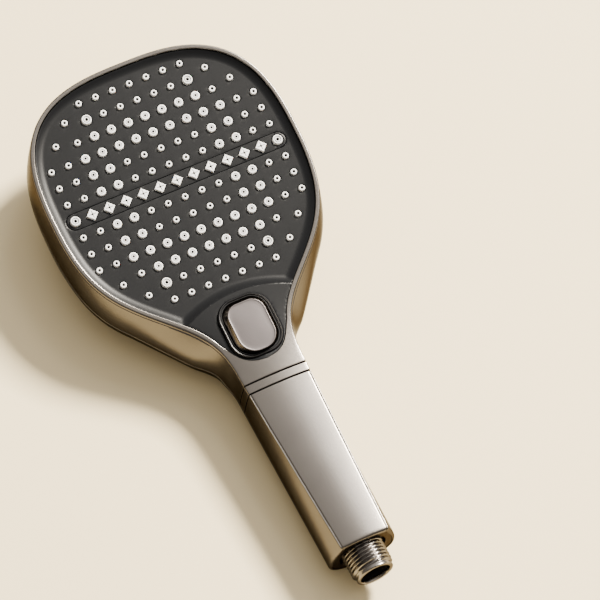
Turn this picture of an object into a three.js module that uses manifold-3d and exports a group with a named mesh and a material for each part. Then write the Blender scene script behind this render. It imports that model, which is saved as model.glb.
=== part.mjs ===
// Handheld shower head: an oval spray head with a push-button spray selector, and a
// grip that ends in a G 1/2 male thread. Millimetres, +Z up.
//
// The shower head lies on its back. +X is the width, +Y points from the grip to the
// top of the head. The spray face is tilted by TILT, so the head group is turned about
// X: inside it +z is the face normal and z = 0 is the plane of the nozzle tips.
import * as THREE from 'three';
import { LoftGeometry } from 'three/addons/geometries/LoftGeometry.js';
import { mergeVertices } from 'three/addons/utils/BufferGeometryUtils.js';
import Module from 'manifold-3d';

const wasm = await Module();
wasm.setup();

// ---- Driving dimensions ----------------------------------------------------------

const GAP = 0.3; // between pieces that touch

// Head
const TILT = THREE.MathUtils.degToRad(8.5); // spray face to grip axis
const HEAD_HALF_WIDTH = 65.6;
const HEAD_HALF_LENGTH = 65;
const HEAD_SQUARENESS = 2.84; // superellipse exponent of the top half
const RIM_RISE = 0.8; // rim above the nozzle tips
const RIM_WIDTH = 2.2;
const SEAM_DEPTH = 17; // seam of the casings below the nozzle tips
const SHOULDER_X = 42.3;
const SHOULDER_Y = 58.5;
const NECK_HALF_WIDTH = 16.7;
const NECK_Y = 103.5;
const SIDE_TANGENT_Y = 30.6; // where the edge's curve leaves the head's side
const SHOULDER_TANGENT_X = 15.4;
const SHOULDER_TANGENT_Y = 15.1;
const NECK_TANGENT_Y = 23.4;

// Grip
const GRIP_END_Y = 200.8; // from the middle of the face
const GRIP_END_HALF_WIDTH = 12.5; // of the front panel
const GRIP_HALF_WIDTH = 17.4; // at the widest line
const GRIP_FRONT_HEIGHT = 29.2;
const GRIP_MID_HEIGHT = 13.5;
const FACE_OVER_GRIP = 14.4; // nozzle tips above the grip's front, at the middle of the face
const FACE_HEIGHT = GRIP_FRONT_HEIGHT + FACE_OVER_GRIP;
const GRIP_END_LIFT = 3; // the grip's back rises by this towards its end
const FRONT_CROWN = 1; // how far the front bows up over its width
const BAND_Y = 106.7;
const BAND_LENGTH = 4.8;
const GROOVE_WIDTH = 0.6;

// Casings
const WALL = 2.4;
const BACK_ROUNDNESS = 2.4; // superellipse exponent of the back's sections
const REST_TRIM = 0.4; // shaved off the lowest part of the back, which rests flat
const REST_FROM_Y = 112; // the back is level between these two places
const REST_TO_Y = 30;
const KEEL_RISE = 0.0025; // curvature of the back above the level stretch, per mm
const KEEL_SHARE = 0.34; // length of the back's ridge in the head, as a share

// Spray face, heights from the nozzle tips
const FIELD_DROP = 1.2; // the flat field is this far below the nozzle tips
const FACE_THICKNESS = 2.4;
const FACE_LIP_RISE = 0.2;
const FACE_LIP_WIDTH = 4.2;
const NECK_RISE = 1.8; // raised part round the button
const NECK_START_Y = 61.5;
const FACE_END_Y = 99.2;
const FACE_TAPER_Y = 84;
const FACE_TAIL_X = 4.2; // curve of the face's pointed end
const FACE_TAIL_Y = 7.5;
const FACE_TAIL_SHARE = 0.62;
const SMALL_RADIUS = 1.6;
const MEDIUM_RADIUS = 2.25;
const JET_RADIUS = 2.5;
const JET_BORE = 0.9;
const JET_FLANGE = 0.6;
const DIAMOND_RADIUS = 3;
const NOZZLE_CLEARANCE = 0.4;
const NOZZLE_SIDES = 5;
const MAT_THICKNESS = 1.5;
const MAT_SIDE_MARGIN = 6.2; // nozzle mat to the casing's front edge
const MAT_END_MARGIN = 6.5;
const MAT_HALF_WIDTH = HEAD_HALF_WIDTH - MAT_SIDE_MARGIN;
const MAT_HALF_LENGTH = HEAD_HALF_LENGTH - MAT_END_MARGIN;
const COLUMN_PITCH = MAT_HALF_WIDTH / 6.6; // nozzle to nozzle across, 9 mm
const ROW_PITCH = MAT_HALF_LENGTH / 6.5; // nozzle to nozzle along, 9 mm
const STRIP_HALF_LENGTH = 6.5 * COLUMN_PITCH;
const STRIP_HALF_WIDTH = 4.3;
const BAR_HALF_LENGTH = 6 * COLUMN_PITCH - JET_RADIUS - JET_FLANGE - GAP / 2; // up to the jets
const BAR_HALF_WIDTH = 3.7;

// Water chamber
const TRAY_DEPTH = 8.2;
const TRAY_WALL = 1.6;
const TRAY_BASE = 2;
const ZONE_WALL = 1;
const OUTER_ZONE_PITCHES = 4.55; // half-width of the walls round the medium nozzles
const INNER_ZONE_PITCHES = 2.5;
const ZONE_SQUARENESS = 4;
const STRIP_WALL_HALF_WIDTH = 4.4;
const STRIP_WALL_PITCHES = 6.3;
const TRAY_INLET_RADIUS = 2.6;
const TRAY_INLET_SETBACK = 4; // from the channel's end
const GASKET_THICKNESS = 0.8;
const CHANNEL_DEPTH = 8;
const CHANNEL_BASE = 1.8;
const CHANNEL_WIDTH = 7;
const CHANNEL_SPACING = 10;
const CHANNEL_ENDS = [-30, 8, -20];
const CHANNEL_OVERRUN = 6; // cover past the channel's end
const COVER_WALL = 1.6;
const COVER_SETBACK = 3; // from the valve
const COVER_END_WALL = 2;

// Button and selector, heights from the nozzle tips
const BUTTON_Y = FACE_END_Y - 17.6; // the bezel ends just inside the face
const BUTTON_HALF_WIDTH = 11.3; // at the foot of the cap's sloping sides
const BUTTON_HALF_LENGTH = 13.9;
const BUTTON_CORNER = 8.4;
const BUTTON_SLOPE = 1.4; // the top is this much smaller all round
const BUTTON_SHOULDER = 1.8;
const BUTTON_TOP = 5.4;
const BUTTON_FLANGE = 0.6;
const BUTTON_BASE = -0.2; // underside of the cap
const PRESS_TRAVEL = 3;
const STEP_ANGLE = THREE.MathUtils.degToRad(60); // turn of the disc for one press
const BEZEL_HALF_WIDTH = 13.6;
const BEZEL_HALF_LENGTH = 15.6;
const BEZEL_CORNER = 10.6;
const BEZEL_RISE = 1.2; // bezel above the raised part of the face
const BEZEL_LIP = 1.4;
const PLUNGER_RADIUS = 7;
const PLUNGER_BOTTOM = -8.6;
const NUT_LENGTH = 2.5;
const SPINDLE_SIDE = 4.6;
const SPINDLE_TOP = -5.2;
const SPRING_WIRE = 0.9;
const SPRING_TURNS = 3.5;
const SPRING_CLEARANCE = 0.5;
const DRIVE_ROOM_RADIUS = 4.6;
const VALVE_RADIUS = 13;
const VALVE_WALL = 2.4;
const VALVE_TOP = -8.7;
const VALVE_FLOOR = -18.8;
const VALVE_BOTTOM = -25;
const LID_THICKNESS = 2.4;
const SEAT_THICKNESS = 1.2;
const DISC_THICKNESS = 1.8;
const WHEEL_THICKNESS = 2.6;
const WHEEL_TEETH = 6;
const WHEEL_CLEARANCE = 1.2;
const SHAFT_RADIUS = 2;
const PORT_RADIUS = 1.8;
const PORT_CIRCLE = 5.2;
const DISC_PORT_EXTRA = 0.6;
const PASSAGE_DEPTH = 21.6;
const SCREW_RADIUS = 1.2;
const SCREW_HEAD_RADIUS = 2.3;
const SCREW_HEAD_HEIGHT = 1.6;
const LID_SCREW_BITE = 5;
const EAR_SCREW_BITE = 4;
const LID_SCREW_CIRCLE = VALVE_RADIUS + 1.8;
const EAR_REACH = VALVE_RADIUS + 8;
const EAR_RADIUS = 3.8;
const EAR_THICKNESS = 3;

// Water line
// Thread and tube above the ground: the middle of the grip's end
const AXIS_HEIGHT = (GRIP_FRONT_HEIGHT + GRIP_END_LIFT - REST_TRIM) / 2;
const THREAD_RADIUS = 10.48; // G 1/2
const THREAD_PITCH = 1.814;
const THREAD_DEPTH = 1.16;
const THREAD_CRESTS = 6;
const THREAD_END = 13.2; // past the end of the grip
const THREAD_RUN_OUT = 0.8;
const THREAD_FLANK = 0.45; // half-width of a crest's foot, in pitches
const INLET_BORE = 7.5;
const BORE_STEP_FROM = 2; // the bore narrows between these depths inside the grip
const BORE_STEP_TO = 5;
const CONNECTOR_NECK = THREAD_RADIUS - THREAD_DEPTH - GAP; // 9.02
const CONNECTOR_INNER_END = 22; // inside the grip
const END_CAP_THICKNESS = 5;
const END_DISH = 2.4;
const END_DISH_RADIUS = THREAD_RADIUS + 1.5;
const TUBE_RADIUS = 6.4;
const TUBE_WALL = 1.2;
const TUBE_BORE = TUBE_RADIUS - TUBE_WALL; // 5.2
const TUBE_SOCKET = TUBE_RADIUS + 2 * GAP; // 7
const TUBE_SOCKET_DEPTH = 8;
const SOCKET_MOUTH_Y = 106;
const SOCKET_STOP_Y = 97;
const SOCKET_START_Y = 95.5;
const SOCKET_WALL = 2.4;
const SOCKET_RADIUS = TUBE_SOCKET + SOCKET_WALL; // 9.4
const INLET_NECK_RADIUS = 5.2; // between the socket and the valve
const INLET_RADIUS = 3.6;
const SEAL_DEPTH = 2;
const SEAL_WIRE = 1.2;
const SEAL_SEAT = TUBE_RADIUS + SEAL_WIRE + 2 * GAP;
const BUSH_LENGTH = 5;
const WASHER_THICKNESS = 1;
const CLIP_WIDTH = 1.5;
const CLIP_HEIGHT = 1.4;
const CLIP_MOUTH_HALF_WIDTH = 6;
const REGULATOR_BORE = 1.6;
const REGULATOR_MOUTH = 2.6;
const REGULATOR_INSIDE = 1.4; // inwards of the grip's end
const REGULATOR_OUTSIDE = 1.6;
const SCREEN_THICKNESS = 1;
const SCREEN_PITCH = 4;
const SCREEN_HOLE_HALF_WIDTH = 1.4;
const OVERSHOOT = 1; // cuts run this far past the faces they open
const JOIN = 0.5; // parts of one piece run this far into each other
const ROUND_END_EASE = 0.05;
const GRIP_ROOM = 60; // wider and higher than the grip

// ---- Solids ----------------------------------------------------------------------

const HEAD = new THREE.Matrix4().makeRotationX(TILT).setPosition(0, 0, FACE_HEIGHT);
const HEAD_INVERSE = HEAD.clone().invert();

// Signed volume of a closed, indexed triangle mesh.
function signedVolume(points, triangles) {
  const [a, b, c] = [new THREE.Vector3(), new THREE.Vector3(), new THREE.Vector3()];
  let volume = 0;
  for (let i = 0; i < triangles.length; i += 3) {
    a.fromArray(points, 3 * triangles[i]);
    b.fromArray(points, 3 * triangles[i + 1]);
    c.fromArray(points, 3 * triangles[i + 2]);
    volume += a.dot(b.cross(c)) / 6;
  }
  return volume;
}

// A closed three.js geometry as a solid that booleans can use.
function solid(geometry) {
  const bare = new THREE.BufferGeometry();
  bare.setAttribute('position', geometry.getAttribute('position'));
  bare.setIndex(geometry.index);
  const merged = mergeVertices(bare, 1e-3);
  const vertProperties = merged.attributes.position.array;
  const kept = [];
  for (let i = 0; i < merged.index.count; i += 3) {
    const [a, b, c] = [0, 1, 2].map((k) => merged.index.getX(i + k));
    if (a !== b && b !== c && c !== a) kept.push(a, b, c);
  }
  if (signedVolume(vertProperties, kept) < 0) kept.reverse();
  const triVerts = new Uint32Array(kept);
  return new wasm.Manifold(new wasm.Mesh({ numProp: 3, vertProperties, triVerts }));
}

function geometryOf(shape) {
  const mesh = shape.getMesh();
  const geometry = new THREE.BufferGeometry();
  geometry.setAttribute('position', new THREE.BufferAttribute(mesh.vertProperties, 3));
  geometry.setIndex(new THREE.BufferAttribute(mesh.triVerts, 1));
  return geometry;
}

// Straight extrusion of an outline from z = low to z = high.
function extrude(outline, low, high) {
  const shape = outline instanceof THREE.Shape ? outline : new THREE.Shape(outline);
  const options = { depth: high - low, bevelEnabled: false, curveSegments: 10 };
  return new THREE.ExtrudeGeometry(shape, options).translate(0, 0, low);
}

// Solid of revolution about z through (x, y), from [radius, z] pairs.
function lathe(profile, segments, x = 0, y = 0) {
  const points = profile.map(([radius, z]) => new THREE.Vector2(radius, z));
  return new THREE.LatheGeometry(points, segments).rotateX(Math.PI / 2).translate(x, y, 0);
}

function cylinder(radius, low, high, segments, x = 0, y = 0) {
  return lathe([[0, low], [radius, low], [radius, high], [0, high]], segments, x, y);
}

function box(low, high) {
  const size = high.map((value, axis) => value - low[axis]);
  const middle = high.map((value, axis) => (value + low[axis]) / 2);
  return new THREE.BoxGeometry(...size).translate(...middle);
}

// Turns a solid of revolution onto the water line: its z becomes the distance from the
// middle of the face towards the inlet.
function alongGrip(geometry) {
  return geometry.rotateX(Math.PI / 2).translate(0, 0, AXIS_HEIGHT);
}

// Closed ring of a round wire about z.
function ring(radius, wire, z, segments, sides = 6) {
  const profile = [];
  for (let i = 0; i <= sides; i++) {
    const angle = (2 * Math.PI * (i % sides)) / sides;
    profile.push([radius + (wire / 2) * Math.cos(angle), z + (wire / 2) * Math.sin(angle)]);
  }
  return lathe(profile, segments);
}

function superellipse(halfWidth, halfLength, exponent, count) {
  const points = [];
  for (let i = 0; i < count; i++) {
    const angle = (2 * Math.PI * i) / count;
    const x = Math.sign(Math.cos(angle)) * Math.abs(Math.cos(angle)) ** (2 / exponent);
    const y = Math.sign(Math.sin(angle)) * Math.abs(Math.sin(angle)) ** (2 / exponent);
    points.push(new THREE.Vector2(halfWidth * x, halfLength * y));
  }
  return points;
}

// Rectangle with round corners about (x, y).
function roundedRectangle(halfWidth, halfLength, radius, x, y, cornerSteps = 4) {
  const points = [];
  const corners = [[1, 1, 0], [-1, 1, 1], [-1, -1, 2], [1, -1, 3]];
  for (const [sideX, sideY, quarter] of corners) {
    for (let i = 0; i <= cornerSteps; i++) {
      const angle = (Math.PI / 2) * (quarter + i / cornerSteps);
      points.push(new THREE.Vector2(
        x + sideX * (halfWidth - radius) + radius * Math.cos(angle),
        y + sideY * (halfLength - radius) + radius * Math.sin(angle),
      ));
    }
  }
  return points;
}

function regularPolygon(radius, sides, x, y, turn = 0) {
  const points = [];
  for (let i = 0; i < sides; i++) {
    const angle = turn + (2 * Math.PI * i) / sides;
    points.push(new THREE.Vector2(x + radius * Math.cos(angle), y + radius * Math.sin(angle)));
  }
  return points;
}

function joinAll(shapes) {
  return shapes.reduce((joined, shape) => joined.add(shape));
}

// ---- Casing surface --------------------------------------------------------------

// The larger of two values, with a soft change from one to the other.
function smoothMax(a, b, blend) {
  return (a + b + Math.hypot(a - b, blend)) / 2;
}

function frontHeight(y) {
  return smoothMax(FACE_HEIGHT + RIM_RISE + y * Math.tan(TILT), GRIP_FRONT_HEIGHT, 3);
}

function widestHeight(y) {
  return smoothMax(FACE_HEIGHT - SEAM_DEPTH + y * Math.tan(TILT), GRIP_MID_HEIGHT, 2);
}

function keelHeight(y) {
  const lift = Math.max(0, -y - REST_FROM_Y) / (GRIP_END_Y - REST_FROM_Y);
  const rise = Math.max(0, y + REST_TO_Y);
  return GRIP_END_LIFT * lift + KEEL_RISE * rise * rise - REST_TRIM;
}

// How far the widest line stands outside the front edge, in the head and neck.
function bulge(y) {
  const knots = [[-HEAD_HALF_LENGTH, 1], [15, 1.6], [50, 3.2], [74, 6.6], [92, 2.2], [NECK_Y, 0.8]];
  for (let i = 1; i < knots.length; i++) {
    const [start, low] = knots[i - 1];
    const [end, high] = knots[i];
    if (-y <= end) return low + (high - low) * THREE.MathUtils.smoothstep(-y, start, end);
  }
  return 0;
}

// Front edge of the casing in plan: the right half, from the top of the head to the
// end of the grip.
function frontEdge() {
  const plan = Math.cos(TILT);
  const path = new THREE.Path();
  const steps = 14;
  path.moveTo(0, HEAD_HALF_LENGTH * plan);
  for (let i = 1; i <= steps; i++) {
    const angle = (Math.PI / 2) * (i / steps);
    path.lineTo(
      HEAD_HALF_WIDTH * Math.sin(angle) ** (2 / HEAD_SQUARENESS),
      HEAD_HALF_LENGTH * plan * Math.cos(angle) ** (2 / HEAD_SQUARENESS),
    );
  }
  path.bezierCurveTo(
    HEAD_HALF_WIDTH, -SIDE_TANGENT_Y * plan,
    SHOULDER_X + SHOULDER_TANGENT_X, (-SHOULDER_Y + SHOULDER_TANGENT_Y) * plan,
    SHOULDER_X, -SHOULDER_Y * plan,
  );
  path.bezierCurveTo(
    SHOULDER_X - SHOULDER_TANGENT_X, (-SHOULDER_Y - SHOULDER_TANGENT_Y) * plan,
    NECK_HALF_WIDTH, (-NECK_Y + NECK_TANGENT_Y) * plan,
    NECK_HALF_WIDTH, -NECK_Y * plan,
  );
  path.lineTo(GRIP_END_HALF_WIDTH, -GRIP_END_Y);
  return path;
}

// Stations along the front edge, moved inwards by inset, with their outward normals.
function edgeStations(inset, count) {
  const points = frontEdge().getSpacedPoints(count);
  return points.map((point, i) => {
    const before = points[Math.max(0, i - 1)];
    const after = points[Math.min(count, i + 1)];
    const normal = new THREE.Vector2(before.y - after.y, after.x - before.x).normalize();
    if (i === 0) normal.set(0, 1);
    if (i === count) normal.set(1, 0);
    const moved = point.clone().addScaledVector(normal, -inset);
    moved.y = Math.max(moved.y, -GRIP_END_Y);
    return { x: Math.max(0, moved.x), y: moved.y, normal };
  });
}

// One closed section of the casing: over the front, down the right side, and back.
function casingSection(station, inset, frontDrop) {
  const { x, y, normal } = station;
  const out = y > -NECK_Y ? bulge(y) : GRIP_HALF_WIDTH - inset - x;
  const front = frontHeight(y) - frontDrop;
  const widest = { x: x + normal.x * out, y: y + normal.y * out, z: widestHeight(y) };
  const ridgeY = y > 0 ? y * KEEL_SHARE : y;
  const ridgeHeight = keelHeight(ridgeY) + inset;
  const right = [];
  const flankSteps = 2;
  for (let i = 1; i <= flankSteps; i++) {
    const down = i / flankSteps;
    const spread = Math.sin((Math.PI / 2) * down);
    right.push(new THREE.Vector3(
      x + (widest.x - x) * spread,
      y + (widest.y - y) * spread,
      front + (widest.z - front) * down,
    ));
  }
  const backSteps = 5;
  for (let i = 1; i < backSteps; i++) {
    const angle = (Math.PI / 2) * (i / backSteps);
    const across = Math.cos(angle) ** (2 / BACK_ROUNDNESS);
    const depth = Math.sin(angle) ** (2 / BACK_ROUNDNESS);
    const backY = ridgeY + (widest.y - ridgeY) * across;
    const backHeight = keelHeight(backY) + inset;
    right.push(new THREE.Vector3(
      widest.x * across, backY, widest.z + (backHeight - widest.z) * depth,
    ));
  }
  const left = right.map((point) => new THREE.Vector3(-point.x, point.y, point.z)).reverse();
  const crown = FRONT_CROWN * THREE.MathUtils.smoothstep(-y, NECK_START_Y, BUTTON_Y + 10);
  const top = [-1, -0.4, 0.4, 1].map((share) => (
    new THREE.Vector3(share * x, y, front + crown * (1 - share * share))
  ));
  return [...top, ...right, new THREE.Vector3(0, ridgeY, ridgeHeight), ...left];
}

// The whole body of the casing as one solid, inset from its outer surface.
function casingBody(inset, frontDrop, count = 30) {
  const sections = edgeStations(inset, count).map((s) => casingSection(s, inset, frontDrop));
  const end = sections.at(-1);
  const middle = new THREE.Vector3(0, -GRIP_END_Y, AXIS_HEIGHT);
  sections.push(end.map(() => middle.clone()));
  return solid(new LoftGeometry(sections));
}

// Outline of the spray face in the head's frame, inset from the casing's front edge.
function faceOutline(inset) {
  const plan = Math.cos(TILT);
  const right = edgeStations(inset, 44)
    .filter((station) => station.y > -FACE_TAPER_Y * plan)
    .map((station) => new THREE.Vector2(station.x, station.y / plan));
  const last = right.at(-1);
  const bottomY = -FACE_END_Y + inset - RIM_WIDTH;
  const tail = new THREE.CubicBezierCurve(
    last,
    new THREE.Vector2(last.x - FACE_TAIL_X, last.y - FACE_TAIL_Y),
    new THREE.Vector2(last.x * FACE_TAIL_SHARE, bottomY),
    new THREE.Vector2(0, bottomY),
  ).getPoints(7).slice(1);
  const half = [...right, ...tail];
  const mirrored = half.slice(1, -1).reverse().map((p) => new THREE.Vector2(-p.x, p.y));
  return [...half, ...mirrored];
}

// ---- Nozzle pattern --------------------------------------------------------------

// Columns of one quarter of the pattern, by row away from the middle row.
const PATTERN = [
  { row: 1, small: [0, 1, 2, 5, 6], medium: [3, 4] },
  { row: 2, small: [0, 1, 2, 5, 6], medium: [3, 4] },
  { row: 3, small: [5, 6], medium: [0, 1, 2, 3, 4] },
  { row: 4, small: [4, 5.17], medium: [0, 1, 2, 3], rowShift: { 5.17: 0.23 } },
  { row: 5, small: [0, 1, 2, 4.17], medium: [], rowShift: { 4.17: 0.28 } },
  { row: 6, small: [0, 1, 2, 3], medium: [] },
];
const JET_PLACES = [[6, 0], [-6, 0], [3, 5], [-3, 5], [3, -5], [-3, -5]];
const DIAMOND_COLUMNS = [-5, -4, -3, -2, -1, 0, 1, 2, 3, 4, 5];

function nozzlePlaces(kind) {
  const places = [];
  for (const entry of PATTERN) {
    for (const column of entry[kind]) {
      const row = entry.row + (entry.rowShift?.[column] ?? 0);
      for (const up of [1, -1]) {
        const y = up * row * ROW_PITCH;
        places.push([column * COLUMN_PITCH, y]);
        if (column > 0) places.push([-column * COLUMN_PITCH, y]);
      }
    }
  }
  return places;
}

// Prisms of the small and medium nozzles, or of their holes.
function nozzlePrisms(clearance, low, high) {
  const prisms = [];
  for (const [kind, radius] of [['small', SMALL_RADIUS], ['medium', MEDIUM_RADIUS]]) {
    for (const [x, y] of nozzlePlaces(kind)) {
      prisms.push(extrude(regularPolygon(radius + clearance, NOZZLE_SIDES, x, y), low, high));
    }
  }
  return prisms;
}

// ---- Model -----------------------------------------------------------------------

const shower = new THREE.Group();
const head = new THREE.Group();
head.rotation.x = TILT;
head.position.z = FACE_HEIGHT;
shower.add(head);

const finish = (color, roughness, metalness) => (
  () => new THREE.MeshStandardMaterial({ color, roughness, metalness })
);
const gunmetal = finish(0x9a928b, 0.25, 0.9);
const satin = finish(0x8f8a88, 0.4, 0.8);
const darkPlastic = finish(0x3c3d3e, 0.55, 0);
const blackPlastic = finish(0x161616, 0.35, 0);
const silicone = finish(0xe9e9e6, 0.5, 0);
const whitePlastic = finish(0xd8d8d2, 0.5, 0);
const bluePlastic = finish(0x6f8796, 0.5, 0);
const blackRubber = finish(0x1b1b1b, 0.8, 0);
const steel = finish(0xb9bcc0, 0.3, 1);

function place(group, name, shape, material) {
  const mesh = new THREE.Mesh(geometryOf(shape), material());
  mesh.name = name;
  group.add(mesh);
}

// Casings: one hollow body, parted at the seam, at the grooves and round the panel.
function addCasings() {
  const reach = 300;
  const ground = solid(box([-reach, -reach, 0], [reach, reach, reach]));
  const outer = casingBody(0, 0).intersect(ground);
  const cavity = casingBody(WALL, WALL);
  const openEnd = casingBody(WALL, WALL).intersect(
    solid(box([-reach, -GRIP_END_Y - 1, 0], [reach, 1 - GRIP_END_Y, reach])),
  );
  const endOpening = throughEnd(openEnd);
  const face = solid(extrude(faceOutline(RIM_WIDTH), -9, 20).applyMatrix4(HEAD));
  const shell = outer.subtract(cavity).subtract(endOpening).subtract(face);

  const above = solid(
    box([-reach, -reach, -SEAM_DEPTH + GAP / 2], [reach, reach, reach]).applyMatrix4(HEAD),
  );
  const below = solid(
    box([-reach, -reach, -reach], [reach, reach, -SEAM_DEPTH - GAP / 2]).applyMatrix4(HEAD),
  );
  const behind = (y) => solid(box([-reach, -reach, -reach], [reach, y, reach]));
  const ahead = (y) => solid(box([-reach, y, -reach], [reach, reach, reach]));
  const firstGroove = -BAND_Y;
  const secondGroove = -BAND_Y - BAND_LENGTH;
  const half = GROOVE_WIDTH / 2;

  const front = shell.intersect(above).intersect(ahead(firstGroove + half));
  const band = shell.intersect(above)
    .intersect(behind(firstGroove - half)).intersect(ahead(secondGroove + half));
  const panelOpening = panelPrism(secondGroove + half, 0);
  const panelBody = panelPrism(secondGroove - half, GAP);
  const grip = shell.intersect(behind(secondGroove - half));
  const panel = grip.intersect(panelBody);
  const rear = shell.intersect(below).intersect(ahead(secondGroove - half - 0.1))
    .add(grip.subtract(panelOpening));
  place(shower, 'front_casing', front, gunmetal);
  place(shower, 'handle_band', band, gunmetal);
  place(shower, 'handle_front_panel', panel, gunmetal);
  place(shower, 'back_shell', rear.add(screwBosses(outer, cavity)), gunmetal);
}

// Opening of the grip's end, as wide as the cavity there.
function throughEnd(slice) {
  const shift = new THREE.Matrix4().makeTranslation(0, -1, 0);
  return slice.add(solid(geometryOf(slice).applyMatrix4(shift)));
}

// Prism over the front panel of the grip, from just inside its edges upwards.
function panelPrism(topY, inset) {
  const edge = 0.5;
  const slope = (NECK_HALF_WIDTH - GRIP_END_HALF_WIDTH) / (GRIP_END_Y - NECK_Y);
  const topHalf = GRIP_END_HALF_WIDTH + slope * (GRIP_END_Y + topY) - edge - inset;
  const endHalf = GRIP_END_HALF_WIDTH - edge - inset;
  const outline = [
    new THREE.Vector2(-endHalf, -GRIP_END_Y - 1),
    new THREE.Vector2(endHalf, -GRIP_END_Y - 1),
    new THREE.Vector2(topHalf, topY),
    new THREE.Vector2(-topHalf, topY),
  ];
  return solid(extrude(outline, GRIP_FRONT_HEIGHT - WALL - 2 + inset, GRIP_FRONT_HEIGHT + 20));
}

// Two bosses on the inside of the back shell for the screws of the valve body.
function screwBosses(outer, cavity) {
  const top = VALVE_FLOOR - EAR_THICKNESS / 2 - GAP;
  const bosses = [-1, 1].map((side) => {
    const x = side * EAR_REACH;
    const post = solid(cylinder(EAR_RADIUS, -40, top, 10, x, -BUTTON_Y).applyMatrix4(HEAD));
    const hole = cylinder(SCREW_RADIUS + GAP, top - 5, top + OVERSHOOT, 8, x, -BUTTON_Y);
    return post.intersect(outer).subtract(solid(hole.applyMatrix4(HEAD)));
  });
  return joinAll(bosses);
}

// Plug that closes the grip's end, with a dish and a hole for the inlet connector.
function addEndCap() {
  const plug = casingBody(WALL + GAP, WALL + GAP).intersect(
    solid(box([-GRIP_ROOM, -GRIP_END_Y, 0], [GRIP_ROOM, -GRIP_END_Y + END_CAP_THICKNESS, GRIP_ROOM])),
  );
  const dishFloor = GRIP_END_Y - END_DISH;
  const hole = solid(alongGrip(lathe([
    [0, GRIP_END_Y - END_CAP_THICKNESS - 1],
    [CONNECTOR_NECK + GAP, GRIP_END_Y - END_CAP_THICKNESS - 1],
    [CONNECTOR_NECK + GAP, dishFloor],
    [END_DISH_RADIUS - 1, dishFloor],
    [END_DISH_RADIUS, GRIP_END_Y + OVERSHOOT],
    [0, GRIP_END_Y + OVERSHOOT],
  ], 24)));
  place(shower, 'end_cap', plug.subtract(hole), darkPlastic);
}

// Spray face: flat field, lip round it, raised part with the button's opening.
function addFacePlate() {
  const fieldTop = -FIELD_DROP;
  const bottom = fieldTop - FACE_THICKNESS;
  const edge = RIM_WIDTH + GAP;
  const slab = solid(extrude(faceOutline(edge), bottom, NECK_RISE));
  const field = solid(extrude(faceOutline(edge + FACE_LIP_WIDTH), fieldTop, NECK_RISE + OVERSHOOT));
  const overField = solid(box([-80, -NECK_START_Y, FACE_LIP_RISE], [80, 80, NECK_RISE + OVERSHOOT]));
  const fieldZone = solid(box([-80, -NECK_START_Y, fieldTop - 1], [80, 80, NECK_RISE + OVERSHOOT]));
  const holes = nozzlePrisms(NOZZLE_CLEARANCE, bottom - OVERSHOOT, OVERSHOOT);
  for (const [column, row] of JET_PLACES) {
    const radius = JET_RADIUS + NOZZLE_CLEARANCE;
    const [x, y] = [column * COLUMN_PITCH, row * ROW_PITCH];
    if (row) holes.push(cylinder(radius, bottom - OVERSHOOT, OVERSHOOT, 12, x, y));
  }
  holes.push(extrude(stripOutline(0), bottom - OVERSHOOT, OVERSHOOT));
  holes.push(extrude(bezelOutline(GAP), bottom - OVERSHOOT, NECK_RISE + OVERSHOOT));
  const cuts = joinAll(holes.map(solid));
  const plate = slab.subtract(overField).subtract(field.intersect(fieldZone)).subtract(cuts);
  place(head, 'face_plate', plate, darkPlastic);
}

function stripOutline(inset) {
  const halfWidth = STRIP_HALF_WIDTH - inset;
  return roundedRectangle(STRIP_HALF_LENGTH - inset, halfWidth, halfWidth - ROUND_END_EASE, 0, 0, 4);
}

function barOutline(offset) {
  const halfWidth = BAR_HALF_WIDTH + offset;
  return roundedRectangle(BAR_HALF_LENGTH + offset, halfWidth, halfWidth - ROUND_END_EASE, 0, 0, 3);
}

function bezelOutline(offset) {
  return roundedRectangle(
    BEZEL_HALF_WIDTH + offset, BEZEL_HALF_LENGTH + offset, BEZEL_CORNER + offset, 0, -BUTTON_Y,
  );
}

function buttonOutline(offset) {
  return roundedRectangle(
    BUTTON_HALF_WIDTH + offset, BUTTON_HALF_LENGTH + offset, BUTTON_CORNER + offset, 0, -BUTTON_Y,
  );
}

// Slot-shaped insert with the openings of the diamond nozzles and two jets.
function addCentreStrip() {
  const bottom = -FIELD_DROP - FACE_THICKNESS;
  const slab = solid(extrude(stripOutline(GAP), bottom, -FIELD_DROP));
  const low = bottom - OVERSHOOT;
  const holes = DIAMOND_COLUMNS.map((column) => extrude(
    regularPolygon(DIAMOND_RADIUS + NOZZLE_CLEARANCE, 4, column * COLUMN_PITCH, 0), low, OVERSHOOT,
  ));
  for (const side of [-1, 1]) {
    const x = side * 6 * COLUMN_PITCH;
    holes.push(cylinder(JET_RADIUS + NOZZLE_CLEARANCE, low, OVERSHOOT, 12, x, 0));
  }
  place(head, 'centre_strip', slab.subtract(joinAll(holes.map(solid))), darkPlastic);
}

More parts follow.
